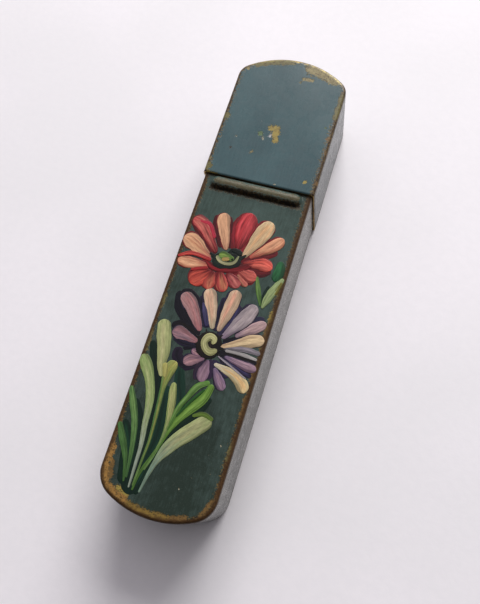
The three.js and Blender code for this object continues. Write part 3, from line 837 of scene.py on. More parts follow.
# %% Red daisy
RED, ROSE, CORAL, PEACH = (192, 48, 56), (200, 78, 78), (230, 92, 78), (238, 182, 142)
MAROON = (118, 26, 32)
CREAM, CRIMSON, WINE, INK_GREEN = (234, 204, 158), (112, 14, 22), (76, 10, 18), (10, 24, 18)
dark = dict(lift=0.0, thick=0.02, spread=1.4, shade=0.2, hair=0.3)
red_shadows = [
    stroke([(-5.3, -16.6, 1.6), (-2.5, -17.3, 1.9), (0.6, -17.1, 1.9), (3.7, -15.8, 1.5)], CRIMSON, WINE,
           lift=0.0, thick=.015, shade=.2),
    stroke([(-8.5, -8.6, .7), (-6.0, -10.9, 1.1), (-2.9, -13.4, .8)], WINE, CRIMSON, **dark),
    stroke([(-4.8, -6.9, .5), (-4.4, -8.9, .7), (-2.5, -12.2, .5)], WINE, **dark),
    stroke([(-2.8, -6.7, .6), (-1.9, -9.0, .9), (-1.1, -12.0, .7)], WINE, CRIMSON, **dark),
    stroke([(-0.9, -6.3, .7), (-1.2, -8.8, 1.2), (-0.3, -12.0, 1.0)], CRIMSON, (150, 30, 44), **dark),
    stroke([(1.9, -6.6, .8), (1.5, -9.4, 1.0), (0.8, -12.4, .8)], (150, 34, 44), CRIMSON, **dark),
    stroke([(4.9, -8.9, .6), (3.9, -10.1, 1.3), (2.0, -12.5, .8)], CRIMSON, WINE, seed=1, **dark),
    stroke([(6.6, -10.7, .5), (5.4, -11.4, 1.0), (3.0, -12.6, .7)], CRIMSON, WINE, seed=2, **dark),
    stroke([(4.6, -12.3, .5), (3.0, -12.8, .8), (1.2, -13.6, .9)], CRIMSON, WINE, seed=3, **dark),
    stroke([(6.5, -14.1, .6), (4.6, -14.7, 1.2), (1.3, -14.3, 1.1)], WINE, CRIMSON, seed=4, **dark),
    stroke([(4.4, -16.4, .6), (2.8, -16.4, 1.2), (0.4, -15.3, 1.2)], CRIMSON, (150, 40, 44), **dark),
    stroke([(-1.5, -16.1, .6), (-1.3, -17.8, .9), (-0.8, -19.0, .6)], CRIMSON, WINE, **dark),
    stroke([(-8.6, -12.9, .4), (-6.0, -13.8, .7), (-3.4, -14.8, .8)], (160, 36, 40), CRIMSON, **dark),
    stroke([(-5.6, -17.2, .8), (-4.2, -16.6, 1.1), (-2.6, -15.9, .9)], CRIMSON, WINE, **dark),
]
red_petals = [
    petal((-8.3, -8.3), (-6.3, -9.3), (-2.9, -13.2), 2.15, ROSE, (222, 130, 112), CRIMSON, line=MAROON,
          seed=.4, lean=.3),
    stroke([(-7.2, -8.6, .4), (-5.4, -8.8, .7), (-3.9, -10.9, .5)], (204, 48, 72), lift=.05, thick=.04),
    petal((-3.7, -6.3), (-3.3, -8.1), (-1.5, -12.4), 2.15, PEACH, (236, 176, 134), (206, 150, 118),
          line=MAROON, seed=1.1),
    petal((0.75, -5.3), (0.35, -7.6), (0.25, -11.9), 3.1, RED, (222, 84, 88), CRIMSON, line=MAROON,
          seed=2.2, lean=-.25),
    petal((4.3, -6.0), (3.5, -7.9), (1.5, -12.9), 2.75, CREAM, (230, 178, 128), (226, 190, 150),
          line=MAROON, seed=3.4),
    petal((6.9, -8.3), (5.8, -9.7), (2.5, -12.7), 1.95, (226, 150, 112), PEACH, (190, 80, 70),
          line=MAROON, seed=4.1),
    petal((6.5, -13.6), (4.9, -13.3), (1.8, -13.9), 2.0, CORAL, (240, 118, 100), CRIMSON, line=MAROON,
          seed=5.3, lean=-.4),
    petal((4.6, -15.9), (3.2, -15.7), (0.9, -14.9), 2.1, (196, 84, 76), (214, 112, 96), CRIMSON,
          line=MAROON, seed=6.2),
    petal((3.5, -17.4), (2.9, -17.0), (1.5, -15.9), .9, (206, 130, 104), ROSE, line=MAROON, seed=.9),
    petal((2.3, -17.9), (1.4, -17.2), (-0.1, -16.1), 1.85, (188, 82, 84), (208, 120, 110), CRIMSON,
          line=MAROON, seed=7.7),
    petal((0.2, -19.2), (-0.4, -18.2), (-1.4, -16.0), 2.1, (190, 62, 64), (204, 138, 98), CRIMSON,
          line=MAROON, seed=8.4),
    petal((-2.3, -19.5), (-2.5, -18.4), (-2.3, -16.4), 2.0, (190, 74, 64), (202, 120, 92), CRIMSON,
          line=MAROON, seed=9.8),
    petal((-5.5, -19.1), (-4.6, -18.1), (-2.9, -16.3), 2.9, (204, 74, 60), (216, 96, 76), CRIMSON,
          line=MAROON, seed=1.9),
    petal((-8.6, -15.8), (-6.9, -15.9), (-3.6, -15.6), 1.95, (222, 152, 116), PEACH, (206, 110, 90),
          line=MAROON, seed=2.8),
    petal((-8.9, -11.9), (-7.3, -12.3), (-3.6, -14.3), 2.65, PEACH, (232, 174, 128), (214, 128, 104),
          line=MAROON, seed=3.7),
    stroke([(-8.8, -15.3, .4), (-6.7, -14.3, .75), (-3.3, -14.6, .6)], (186, 48, 50), CORAL, lift=.07,
           thick=.05),
    stroke([(-6.0, -17.0, .4), (-4.8, -16.5, .6), (-3.4, -16.0, .5)], (180, 40, 44), lift=.07,
           thick=.04),
]
red_eye = [
    stroke([(-4.2, -14.7, .6), (-2.5, -15.7, 1.0), (0.5, -15.3, 1.2), (2.5, -14.3, 1.0),
            (3.5, -13.0, .4)], CRIMSON, (150, 24, 34), lift=.05, thick=.02),
    stroke([(-0.6, -12.0, .4), (-0.9, -13.2, .8)], INK_GREEN, lift=.07, thick=.02, hair=.1),
    stroke([(1.9, -12.4, .3), (1.0, -13.4, .7)], INK_GREEN, lift=.07, thick=.02, hair=.1),
    stroke([(-3.9, -13.5, .3), (-2.8, -14.0, .8)], INK_GREEN, lift=.07, thick=.02, hair=.1),
    stroke([(-3.2, -14.2, 1.7), (-1.8, -14.3, 2.7), (0.0, -13.9, 2.6), (1.3, -13.3, 1.6)], INK_GREEN,
           (20, 36, 24), lift=.08, thick=.02),
    stroke([(-0.7, -12.1, .5), (0.4, -12.2, .9), (1.2, -12.6, .7)], INK_GREEN, lift=.1, thick=.03),
    stroke([(-2.65, -13.7, .5), (-1.9, -14.4, .65), (-0.6, -14.6, .6), (0.4, -14.1, .5),
            (0.8, -12.9, .25)], (158, 162, 116), (196, 186, 144), lift=.11, thick=.03),
    stroke([(-2.4, -13.5, 1.1), (-1.3, -13.4, 1.35), (0.2, -13.7, .6)], (98, 136, 54), (136, 162, 76),
           lift=.1, thick=.03),
    stroke([(-1.7, -14.1, .5), (-1.0, -13.9, .7), (-0.5, -13.8, .4)], (190, 158, 92), lift=.16,
           thick=.03),
    stroke([(-0.2, -13.8, .3), (0.1, -13.6, .4)], (30, 40, 20), lift=.16, thick=.02),
]
painting("red_daisy", red_shadows + red_petals + red_eye)

# %% [markdown]
# ## The lilac daisy
# Its petals go from mauve at the left to cream at the top and right, each beside a navy
# shadow. The eye is a dark ring with a cream curl laid in it.

# %% Lilac daisy
MAUVE, LILAC, VIOLET, NAVY = (178, 138, 138), (166, 152, 156), (122, 102, 132), (12, 10, 24)
DUSK = (40, 32, 56)
INDIGO, BONE, BARK = (62, 56, 96), (230, 200, 168), (22, 15, 10)
lilac_shadows = [
    stroke([(-6.5, -20.8, .8), (-5.4, -23.4, 1.5), (-3.4, -25.4, 1.2), (-1.5, -26.6, .8)], NAVY, **dark),
    stroke([(-6.2, -20.8, .5), (-4.6, -20.7, .8), (-2.4, -22.2, .6)], NAVY, **dark),
    stroke([(-2.8, -20.6, .5), (-2.2, -22.6, 1.1), (-0.4, -25.4, .9)], (36, 32, 58), NAVY, **dark),
    stroke([(0.7, -20.0, .5), (0.8, -22.6, .9), (0.9, -25.6, .8)], (40, 34, 60), NAVY, **dark),
    stroke([(3.4, -20.6, .6), (3.0, -23.4, .9), (1.6, -26.2, .9)], (34, 30, 54), INDIGO, **dark),
    stroke([(4.4, -20.6, .5), (3.6, -23.0, .7), (2.2, -26.2, .8)], NAVY, INDIGO, **dark),
    stroke([(7.9, -22.0, .6), (6.8, -22.2, .8), (6.0, -24.3, .6)], (44, 42, 66), **dark),
    stroke([(6.8, -24.2, .4), (4.9, -25.6, .6), (2.6, -26.9, .6)], NAVY, **dark),
    stroke([(8.6, -28.7, .4), (5.4, -28.5, .7), (2.5, -28.7, 1.0)], NAVY, BARK, **dark),
    stroke([(8.4, -30.9, .5), (6.0, -30.2, .8), (3.0, -29.3, .9)], (32, 26, 48), INDIGO, **dark),
    stroke([(5.1, -31.9, .8), (3.6, -31.0, 1.1), (1.8, -30.3, .9)], (38, 32, 58), INDIGO, **dark),
    stroke([(2.2, -33.0, .6), (2.2, -31.4, .8), (1.6, -30.0, .7)], (48, 34, 60), **dark),
    stroke([(0.4, -33.6, .5), (0.1, -32.0, .7), (0.6, -30.2, .7)], (52, 36, 56), **dark),
    stroke([(-3.4, -29.4, .8), (-3.5, -30.8, 1.2), (-2.0, -32.1, 1.0), (-0.2, -31.4, .6)], (34, 24, 44),
           NAVY, **dark),
    stroke([(-3.0, -29.5, .4), (-1.6, -28.9, .6), (-0.6, -29.1, .5)], NAVY, **dark),
    stroke([(-5.9, -26.6, .7), (-4.2, -25.9, 1.0), (-1.2, -26.8, 1.0)], NAVY, BARK, **dark),
    stroke([(-5.0, -28.2, .5), (-3.2, -28.7, .8), (-1.0, -28.4, .8)], (34, 28, 52), NAVY, **dark),
]
lilac_petals = [
    petal((-5.8, -21.0), (-4.0, -22.6), (-1.3, -26.2), 2.3, MAUVE, (198, 132, 130), (170, 108, 112),
          line=DUSK, seed=.7),
    petal((-2.1, -19.2), (-1.2, -21.2), (0.45, -25.4), 2.15, BONE, (228, 172, 142), (196, 182, 150),
          line=DUSK, seed=1.6),
    stroke([(-2.3, -21.7, .3), (-1.5, -23.2, .9), (-0.5, -25.2, .6)], INDIGO, (86, 80, 118), lift=.04,
           thick=.04),
    petal((2.3, -18.4), (2.15, -20.5), (1.4, -25.5), 2.25, (224, 190, 158), (226, 164, 138),
          (204, 176, 148), line=DUSK, seed=2.5),
    petal((5.9, -20.0), (4.9, -22.2), (2.3, -26.4), 2.4, LILAC, (186, 170, 170), (150, 128, 150),
          line=DUSK, seed=3.3),
    petal((8.2, -22.3), (6.9, -23.4), (4.2, -25.6), 1.7, (188, 154, 156), (204, 172, 168),
          (150, 124, 140), line=DUSK, seed=4.6),
    petal((8.7, -25.0), (6.9, -25.6), (2.4, -27.9), 1.95, (228, 198, 156), (234, 206, 160),
          (214, 178, 140), line=DUSK, seed=5.2),
    stroke([(8.7, -27.2, .7), (6.0, -27.1, 1.0), (3.0, -27.9, .6)], (128, 122, 128), (150, 140, 150),
           lift=.03, thick=.04, seed=3),
    stroke([(8.5, -28.2, .4), (6.2, -28.0, .6), (3.4, -28.1, .4)], (176, 170, 168), lift=.05, thick=.04,
           seed=5),
    petal((8.8, -29.7), (7.2, -29.6), (3.6, -29.0), 1.35, (154, 122, 142), (174, 144, 152), VIOLET,
          line=DUSK, seed=6.6),
    stroke([(8.1, -33.5, 1.4), (7.2, -32.2, 1.9), (5.4, -31.2, 1.4), (2.4, -30.5, .5)], (228, 206, 154),
           (230, 186, 128), (222, 214, 188), seed=7.3),
    stroke([(2.6, -29.2, .2), (5.0, -30.2, .35), (7.7, -31.4, .2)], (170, 160, 170), lift=.06,
           thick=.03),
    petal((4.9, -34.0), (4.1, -33.0), (2.6, -31.1), 1.55, (140, 114, 138), (162, 130, 146), VIOLET,
          line=DUSK, seed=8.1),
    petal((1.3, -33.7), (1.2, -32.4), (1.3, -30.2), 1.85, (146, 114, 134), (166, 134, 146),
          (128, 98, 122), line=DUSK, seed=9.2),
    petal((-2.2, -31.7), (-1.4, -31.0), (0.7, -30.1), 1.75, (160, 122, 132), (178, 134, 138),
          (130, 98, 118), line=DUSK, seed=10.4),
    petal((-1.6, -29.3), (-0.8, -29.6), (0.3, -29.9), 1.1, (136, 98, 122), MAUVE, line=DUSK, seed=11.5),
    petal((-5.5, -27.4), (-4.2, -27.3), (-1.2, -27.9), 2.05, (140, 112, 122), (192, 138, 142),
          (172, 116, 120), line=DUSK, seed=12.1, lean=-.4),
]
lilac_eye = [
    *spokes((0.68, -27.9), 2.45, 0.55, BARK, 13),
    stroke([(0.7, -25.8, 3.9), (0.65, -30.05, 3.9)], BARK, (38, 26, 16), lift=.08, thick=.02),
    stroke([(1.2, -27.7, .6), (1.2, -26.9, 1.0), (0.4, -26.7, 1.2), (-0.1, -27.6, 1.2),
            (0.3, -28.5, 1.15), (1.2, -28.95, 1.15), (2.2, -28.4, .6)], (176, 174, 118), (206, 202, 146),
           lift=.12, thick=.04, rows=44),
]
painting("lilac_daisy", lilac_shadows + lilac_petals + lilac_eye)

# %% [markdown]
# ## Leaves
# Long strokes are pressed at the tip and drawn down to one root at the lower left. The
# darkest greens go down first, in the gaps, and the pale leaves lie over them.

# %% Leaves
DEEP, LEAF, LIME, SAGE = (8, 38, 26), (84, 124, 68), (100, 142, 52), (160, 172, 158)
deep_gap = dict(lift=0.0, thick=0.02, spread=1.9, shade=0.2, hair=0.2)
leaf_shadows = [
    stroke([(-8.0, -29.6, .5), (-6.5, -32.4, .9), (-5.1, -35.3, 1.0), (-4.6, -39.0, 1.0),
            (-4.5, -42.5, .9), (-3.9, -47.5, .9), (-3.7, -51.4, .6)], DEEP, (8, 26, 20), **deep_gap),
    stroke([(-2.6, -31.8, .5), (-1.8, -34.6, .9), (-0.6, -37.6, .7), (-1.2, -41.0, .5)], (20, 58, 44),
           DEEP, **deep_gap),
    stroke([(3.6, -35.6, .4), (2.4, -37.6, .8), (0.0, -40.8, .9), (-1.1, -43.2, .8), (-1.6, -45.5, .8),
            (-2.3, -48.4, .7), (-2.8, -52.0, .4)], DEEP, (14, 44, 20), **deep_gap),
    stroke([(-7.4, -38.8, .4), (-6.0, -41.6, .9), (-5.2, -44.4, .9), (-4.7, -50.2, .8)], DEEP,
           **deep_gap),
    stroke([(-7.9, -42.2, .4), (-6.6, -44.6, .9), (-5.8, -47.0, 1.2), (-5.0, -51.2, .9)], DEEP,
           (20, 60, 40), **deep_gap),
    stroke([(-3.4, -35.6, .5), (-2.9, -39.0, 1.0), (-2.4, -43.0, 1.1), (-2.8, -47.0, 1.0),
            (-3.2, -51.0, .7)], (18, 56, 42), DEEP, **deep_gap),
    stroke([(-4.6, -45.5, .9), (-4.1, -49.0, 1.7), (-3.7, -52.3, 1.1)], (14, 40, 30), DEEP, **deep_gap),
    stroke([(-5.9, -42.5, .6), (-5.5, -45.5, .9), (-4.9, -49.0, .8)], (20, 50, 34), DEEP, **deep_gap),
]
leaves = [
    stroke([(-8.6, -42.8, .7), (-7.5, -44.7, 1.1), (-6.5, -46.4, 1.0), (-5.7, -48.2, .6),
            (-5.0, -50.8, .3)], (74, 114, 56), LEAF, seed=.5),
    stroke([(-8.8, -37.2, .7), (-7.6, -39.6, 1.15), (-6.4, -42.2, 1.1), (-5.5, -45.7, .7),
            (-4.8, -50.2, .3)], LEAF, (122, 156, 88), (70, 110, 60), seed=1.4),
    stroke([(-8.75, -32.1, 1.5), (-7.5, -33.7, 1.9), (-6.3, -35.7, 1.6), (-5.5, -37.7, 1.4),
            (-5.05, -39.8, 1.1), (-4.75, -42.3, .85), (-4.3, -45.0, .65), (-4.15, -48.0, .5),
            (-4.0, -51.4, .3)], (152, 174, 106), (178, 186, 128), SAGE, seed=2.7, rows=44, tail_from=0.3,
           hair=0.45),
    stroke([(-7.35, -25.9, 1.9), (-6.75, -27.8, 2.4), (-5.85, -30.5, 1.95), (-5.4, -32.8, 1.45),
            (-4.8, -34.6, .7)], (180, 188, 126), (194, 190, 138), (196, 196, 132), seed=3.1, rows=40,
           hair=0.45),
    stroke([(-3.25, -31.8, 1.5), (-3.9, -33.1, 2.0), (-4.0, -35.7, .95), (-3.8, -38.2, .7),
            (-3.55, -40.7, .6), (-3.3, -44.2, .5), (-3.4, -47.0, .4), (-3.5, -51.0, .3)],
           (196, 188, 106), (206, 180, 86), (78, 124, 66), seed=4.4, rows=44, tail_from=-0.2, hair=0.4),
    stroke([(-4.9, -32.4, .8), (-4.6, -33.3, .9), (-4.2, -34.6, .6)], (192, 186, 108), lift=.05,
           thick=.04),
    stroke([(-2.55, -34.9, .7), (-2.3, -36.3, 1.15), (-1.85, -38.3, 1.15), (-1.55, -40.7, .85),
            (-1.5, -42.8, .6), (-1.9, -45.5, .45), (-2.7, -48.4, .3)], (164, 178, 106), (186, 180, 124),
           (104, 144, 78), seed=5.9, tail_from=0.25),
    stroke([(2.7, -33.4, .7), (1.1, -34.5, 1.0), (0.1, -36.5, .9), (-0.7, -38.5, .8),
            (-1.25, -42.0, .6)], (90, 134, 54), (128, 160, 94), seed=6.3),
    stroke([(3.2, -33.6, .9), (2.5, -36.0, 1.35), (1.0, -38.2, 1.4), (-0.2, -40.2, 1.0),
            (-1.05, -42.3, .6), (-1.9, -45.4, .5), (-3.1, -48.9, .45), (-3.4, -51.6, .3)], LIME,
           (134, 172, 78), (78, 116, 50), seed=7.1, rows=40, tail_from=0.3),
    stroke([(2.3, -34.6, .25), (1.0, -36.6, .45), (-0.6, -39.6, .3)], (42, 92, 36), lift=.08, thick=.02),
    stroke([(4.55, -38.5, 1.7), (3.4, -39.8, 2.45), (1.9, -41.5, 2.45), (0.6, -43.0, 2.2),
            (-0.4, -44.6, 1.7), (-1.2, -46.4, 1.0), (-1.8, -48.6, .6), (-2.3, -51.6, .35)],
           (170, 180, 122), (186, 178, 134), (122, 150, 134), seed=8.8, rows=44, tail_from=0.3,
           hair=0.35),
    stroke([(1.7, -38.9, .4), (3.2, -38.2, .75), (4.9, -38.6, .5)], (104, 130, 52), lift=.06, thick=.04),
]
sprig = [
    stroke([(7.6, -12.0, .8), (7.7, -13.6, 1.8), (7.5, -15.5, 1.3)], (30, 92, 52), (44, 112, 66),
           seed=.2, thick=.05),
    stroke([(8.7, -14.7, .6), (7.8, -16.8, 1.4), (7.2, -18.6, 1.2), (6.8, -20.2, .4)], (152, 172, 116),
           (176, 190, 132), seed=1.3, lift=.05),
    stroke([(4.6, -15.4, .4), (5.3, -17.2, .8), (6.5, -19.9, .4)], (80, 122, 52), (126, 156, 84),
           seed=2.1),
    stroke([(6.9, -16.4, .4), (6.6, -18.4, .6), (6.7, -19.8, .4)], DEEP, **dark),
    stroke([(8.6, -15.3, .4), (8.3, -16.6, .7), (8.1, -17.6, .4)], (138, 128, 56), (110, 110, 44),
           lift=.06, thick=.04),
]
painting("leaves", leaf_shadows + leaves + sprig)

# %% [markdown]
# ## Side bands
# One strip of the same sheet makes both sides and the rounded end, soldered between the two
# flanges. The body's left wall has the slot that the thumb slider's stem runs in. A Boolean
# with a round-ended bar cuts it after the strip has its thickness.


# %% Band builder
def band(name, shape, z_low, z_high, gild):
    """The outline carried straight up from z_low to z_high, closer rows next to the seams."""
    corner_y = arcs(shape)[3]
    rows = np.linspace(shape["open_y"], corner_y, 2 + int(abs(shape["open_y"] - corner_y)))
    line, _ = whole_line(shape, rows)
    t = np.linspace(-1, 1, 15)
    levels = (z_low + z_high) / 2 + (z_high - z_low) / 2 * np.sin(t * math.pi / 2)
    points = np.concatenate([np.repeat(line, len(levels), 0),
                             np.tile(levels, len(line))[:, None]], -1)
    faces = grid_faces(len(line), len(levels))
    from_seam = np.minimum(points[:, 2] - z_low, z_high - points[:, 2])
    floats = {"edge": 0.92 + from_seam, "gild": np.full(len(points), gild)}
    mesh = mesh_of(name, points, faces, floats, {"marks": np.zeros((len(points), 4))})
    return face_out(mesh, (0, shape["tip"], 0))


def slot_bar(x0, x1, y0, y1, half_z, steps=24):
    """A bar along x whose section is a slot: two half circles and the straights between them."""
    angle = np.linspace(0, 2 * math.pi, 2 * steps, endpoint=False) + math.pi / (2 * steps)
    reach = (y1 - y0) / 2 - half_z
    y = (y0 + y1) / 2 + half_z * np.cos(angle) + reach * np.sign(np.cos(angle))
    z = MID_Z + half_z * np.sin(angle)
    rows = [np.stack([np.full_like(y, x), y, z], -1) for x in (x0, x1)]
    middles = np.array([[x0, (y0 + y1) / 2, MID_Z], [x1, (y0 + y1) / 2, MID_Z]])
    ring = len(y)
    points = np.concatenate([np.repeat(middles[:1], ring, 0), *rows, np.repeat(middles[1:], ring, 0)])
    return mesh_of("slot_bar", points, grid_faces(4, ring, closed=True))


def baked(piece):
    """Replaces the piece's mesh by what its modifiers make of it."""
    graph = bpy.context.evaluated_depsgraph_get()
    mesh = bpy.data.meshes.new_from_object(piece.evaluated_get(graph))
    piece.modifiers.clear()
    piece.data = mesh
    return piece


BAND_LOW, BAND_HIGH = STEP + FLANGE + SEAM_GAP, BODY_FACE - FLANGE - SEAM_GAP
body_band = add_piece("body_band", band("body_band", BODY, BAND_LOW, BAND_HIGH, 0.3), "body",
                      "body_paint", body_side_enamel, inner_brass, stands_for=["body_side_band"])
cap_band = add_piece("cap_band", band("cap_band", CAP, FLANGE + SEAM_GAP,
                     CAP_FACE - FLANGE - SEAM_GAP, 0.34), "cap", "cap_paint", cap_side_enamel,
                     inner_brass, stands_for=["cap_side_band"])
thicken(body_band)
thicken(cap_band)
stem_low, stem_high = span("slider_stem")
stroke_joint = next(joint for joint in frame["joints"] if joint["name"] == "lipstick_slide")
travel = stroke_joint["range_m"][1] / MM
STEM_ROUND = 0.8  # how far the stem's own ends are taken in before the margin is added
MARGIN = 0.75
cutter = bpy.data.objects.new("cutter", slot_bar(-BODY["half"] - 1, -BODY["half"] + 1,
                              stem_low[1] + STEM_ROUND - MARGIN,
                              stem_high[1] - STEM_ROUND + travel + MARGIN, 1.0))
cutter.data.materials.append(inner_brass)
bpy.context.scene.collection.objects.link(cutter)
cut = body_band.modifiers.new("slot", "BOOLEAN")
cut.object = cutter
cut.solver = "EXACT"
cut.material_mode = "TRANSFER"
bpy.context.view_layer.update()
baked(body_band).data.set_sharp_from_angle(angle=math.radians(35))
bpy.data.objects.remove(cutter)
print("slot cut;", len(body_band.data.polygons), "faces")

# %% [markdown]
# ## Inside: the tube, the cup and the stick
# With the cap off, the mouth shows a brass plate with a round hole, the guide tube's rim, and
# the lipstick in its bright cup. These round parts are turned: a closed profile of radius and
# height goes once round the case's long axis. Corners of the profile are eased by a short
# curve, because a turned edge that catches no light looks like paper.

# %% Turned parts
def eased(profile, cut):
    """Each corner becomes a quadratic curve between points a short cut away along its sides."""
    p = np.asarray(profile, float)
    before, after = np.roll(p, 1, 0) - p, np.roll(p, -1, 0) - p
    reach = [np.minimum(cut, 0.4 * np.hypot(*d.T))[:, None] * d / np.hypot(*d.T)[:, None]
             for d in (before, after)]
    t = np.linspace(0, 1, 4)[None, :, None]
    start, end = (p + reach[0])[:, None], (p + reach[1])[:, None]
    return ((1 - t) ** 2 * start + 2 * t * (1 - t) * p[:, None] + t ** 2 * end).reshape(-1, 2)


def turned(name, profile, body, slot, material, node, cut=0.05, sides=96):
    """Revolves a closed (radius, y) profile: x = r cos a, z = middle + r sin a."""
    ring = eased(profile, cut)
    angle = np.linspace(0, 2 * math.pi, sides, endpoint=False)
    r, y = np.maximum(ring[:, :1], 0), np.repeat(ring[:, 1:], sides, 1)
    points = np.stack([r * np.cos(angle), y, MID_Z + r * np.sin(angle)], -1)
    points = np.concatenate([points, points[:1]])
    mesh = mesh_of(name, points.reshape(-1, 3), grid_faces(len(points), sides, closed=True))
    return add_piece(name, outward(mesh), body, slot, material, stands_for=[node])


tube_low, tube_high = span("guide_tube")
cup_low, cup_high = span("refill_cup")
stick_low, stick_high = span("lipstick_bullet")
WALL = 0.25
TUBE_R, CUP_R, STICK_R = tube_high[0], cup_high[0], stick_high[0]
turned("tube", [(TUBE_R - WALL, tube_low[1]), (TUBE_R, tube_low[1]), (TUBE_R, tube_high[1]),
                (TUBE_R - WALL, tube_high[1])], "body", "brass", inner_brass, "guide_tube")
BEAD_LINE = cup_high[1] - 0.9
cup_out = [(CUP_R, cup_low[1]), (CUP_R, BEAD_LINE - 0.22), (CUP_R - 0.1, BEAD_LINE),
           (CUP_R, BEAD_LINE + 0.22), (CUP_R, cup_high[1])]
turned("cup", [(0, cup_low[1]), *cup_out, (CUP_R - WALL, cup_high[1]),
               (CUP_R - WALL, cup_low[1] + WALL), (0, cup_low[1] + WALL)],
       "carriage", "bright_brass", cup_brass, "refill_cup")
print(f"tube radius {TUBE_R:.2f}, cup {CUP_R:.2f}, stick {STICK_R:.2f}")

# %% [markdown]
# The stick is moulded round and sliced on a slant. Its top is worked out over a disc: at each
# point it is the lower of a dome and the slanted plane, rounded where the two meet, as wax
# edges are after a little use.


# %% Lipstick
def lipstick_wax():
    """Wax: a deep red with a little light under its surface and drag marks down its side."""
    f = Finish("lipstick_wax", IOR=1.45, Subsurface_Weight=0.08, Subsurface_Scale=0.5 * MM)
    f.shader.inputs["Subsurface Radius"].default_value = (1.0, 0.3, 0.2)
    drag = f.noise(2.2, 3, at=f.stretched(1.6, 0.18, 1.6))
    bloom = f.noise(0.5, 3)
    color = f.mix(drag, linear(158, 24, 36), linear(182, 36, 46))
    color = f.mix(f.span(bloom, 0.5, 0.75, 0, 0.3), color, linear(150, 52, 58))
    return f.wear(Base_Color=color, Roughness=f.span(drag, 0.3, 0.7, 0.3, 0.44),
                  Normal=f.bump(drag, 0.02))


def stick_top(z, r):
    """Lower of the dome and the slice, joined by a smooth minimum.

    The dome is an ellipse 3 high over the radius. The slice rises toward the front."""
    dome_height, ease = 3.0, 0.35
    tip = stick_high[1]
    dome = tip - dome_height + dome_height * np.sqrt(np.maximum(1 - (r / STICK_R) ** 2, 0))
    slice_y = tip - 0.4 + math.tan(math.radians(48)) * (z - MID_Z - 1.6)
    mix = np.clip(0.5 + 0.5 * (slice_y - dome) / ease, 0, 1)
    return slice_y * (1 - mix) + dome * mix - ease * mix * (1 - mix)


angle = np.linspace(0, 2 * math.pi, 112, endpoint=False)
disc = STICK_R * np.sin(np.linspace(0, math.pi / 2, 34))[:, None]
x, z = disc * np.cos(angle), MID_Z + disc * np.sin(angle)
top = np.stack([x, stick_top(z, disc), z], -1)
down = np.linspace(0, 1, 24)[1:, None]
side_y = top[-1, :, 1] * (1 - down) + stick_low[1] * down
side = np.stack([np.tile(x[-1], (len(down), 1)), side_y, np.tile(z[-1], (len(down), 1))], -1)
foot = side[-1:] * [0, 1, 0] + [0, 0, MID_Z]
stick = np.concatenate([top, side, foot])
stick_mesh = outward(mesh_of("lipstick", stick.reshape(-1, 3),
                             grid_faces(*stick.shape[:2], closed=True)))
add_piece("lipstick", stick_mesh, "carriage", "lipstick_wax", lipstick_wax(),
          stands_for=["lipstick_bullet"])
print("lipstick:", len(stick_mesh.polygons), "faces")

# %% [markdown]
# ## The mouth plate
# A rectangle of brass with a round hole, its top edges cut at a slant. Loops with the same
# number of points run up the hole, over the top and down the outer edge, and the last joins
# the first underneath, so the plate is one closed ring of quads.

# %% Mouth plate
plate_low, plate_high = span("mouth_plate")
HOLE_R, CHAMFER = 5.6, 0.09
around = np.linspace(0, 2 * math.pi, 160, endpoint=False)
circle = np.stack([np.cos(around), np.sin(around)], -1)
half = np.array([plate_high[0], (plate_high[2] - plate_low[2]) / 2])
square = circle * np.min(half / np.maximum(np.abs(circle), 1e-9), axis=1)[:, None]


def mouth_loop(share, inset, y):
    """A loop between the hole (0) and the outer edge (1), moved by an inset, at height y."""
    hole = (HOLE_R + inset) * circle
    outer = square * (1 - inset / half.min())
    xz = hole * (1 - share) + outer * share
    return np.stack([xz[:, 0], np.full(len(xz), y), MID_Z + xz[:, 1]], -1)


low_y, high_y = plate_low[1], plate_high[1]
loops = [mouth_loop(0, 0, low_y), mouth_loop(0, 0, high_y - CHAMFER), mouth_loop(0, CHAMFER, high_y),
         mouth_loop(0.5, CHAMFER, high_y), mouth_loop(1, CHAMFER, high_y),
         mouth_loop(1, 0, high_y - CHAMFER), mouth_loop(1, 0, low_y), mouth_loop(0, 0, low_y)]
mouth = outward(mesh_of("mouth", np.concatenate(loops),
                        grid_faces(len(loops), len(around), closed=True)))
mouth.shade_flat()
add_piece("mouth", mouth, "body", "brass", inner_brass, stands_for=["mouth_plate"])
print("mouth plate:", len(mouth.polygons), "faces")

# %% [markdown]
# ## The thumb slider
# The knob is a small cast button: its front is one surface of height over y and z, with ribs,
# rounded ends and a pocket for the screw, closed by a flat back. The screw's shape in the CAD
# model is right but knife-sharp, so a copy is merged, its flat faces are joined, and a Bevel
# modifier eases the edges. The parts out of sight keep their CAD mesh and take a metal finish.


# %% Eased copies
def eased_copy(name, node, body, slot, material, width):
    """A merged copy of a CAD node with its edges rounded by a Bevel modifier."""
    mesh = frame["nodes"][node].data.copy()
    mesh.name = name
    mesh.materials.clear()
    work = bmesh.new()
    work.from_mesh(mesh)
    bmesh.ops.remove_doubles(work, verts=work.verts, dist=0.001 * MM)
    bmesh.ops.dissolve_limit(work, angle_limit=math.radians(1), verts=work.verts, edges=work.edges)
    work.to_mesh(mesh)
    work.free()
    mesh.shade_smooth()
    piece = add_piece(name, mesh, body, slot, material, stands_for=[node])
    bevel = piece.modifiers.new("eased_edges", "BEVEL")
    bevel.width = width * MM
    bevel.segments = 3
    bevel.limit_method = "ANGLE"
    bevel.angle_limit = math.radians(35)
    bevel.harden_normals = True
    return piece


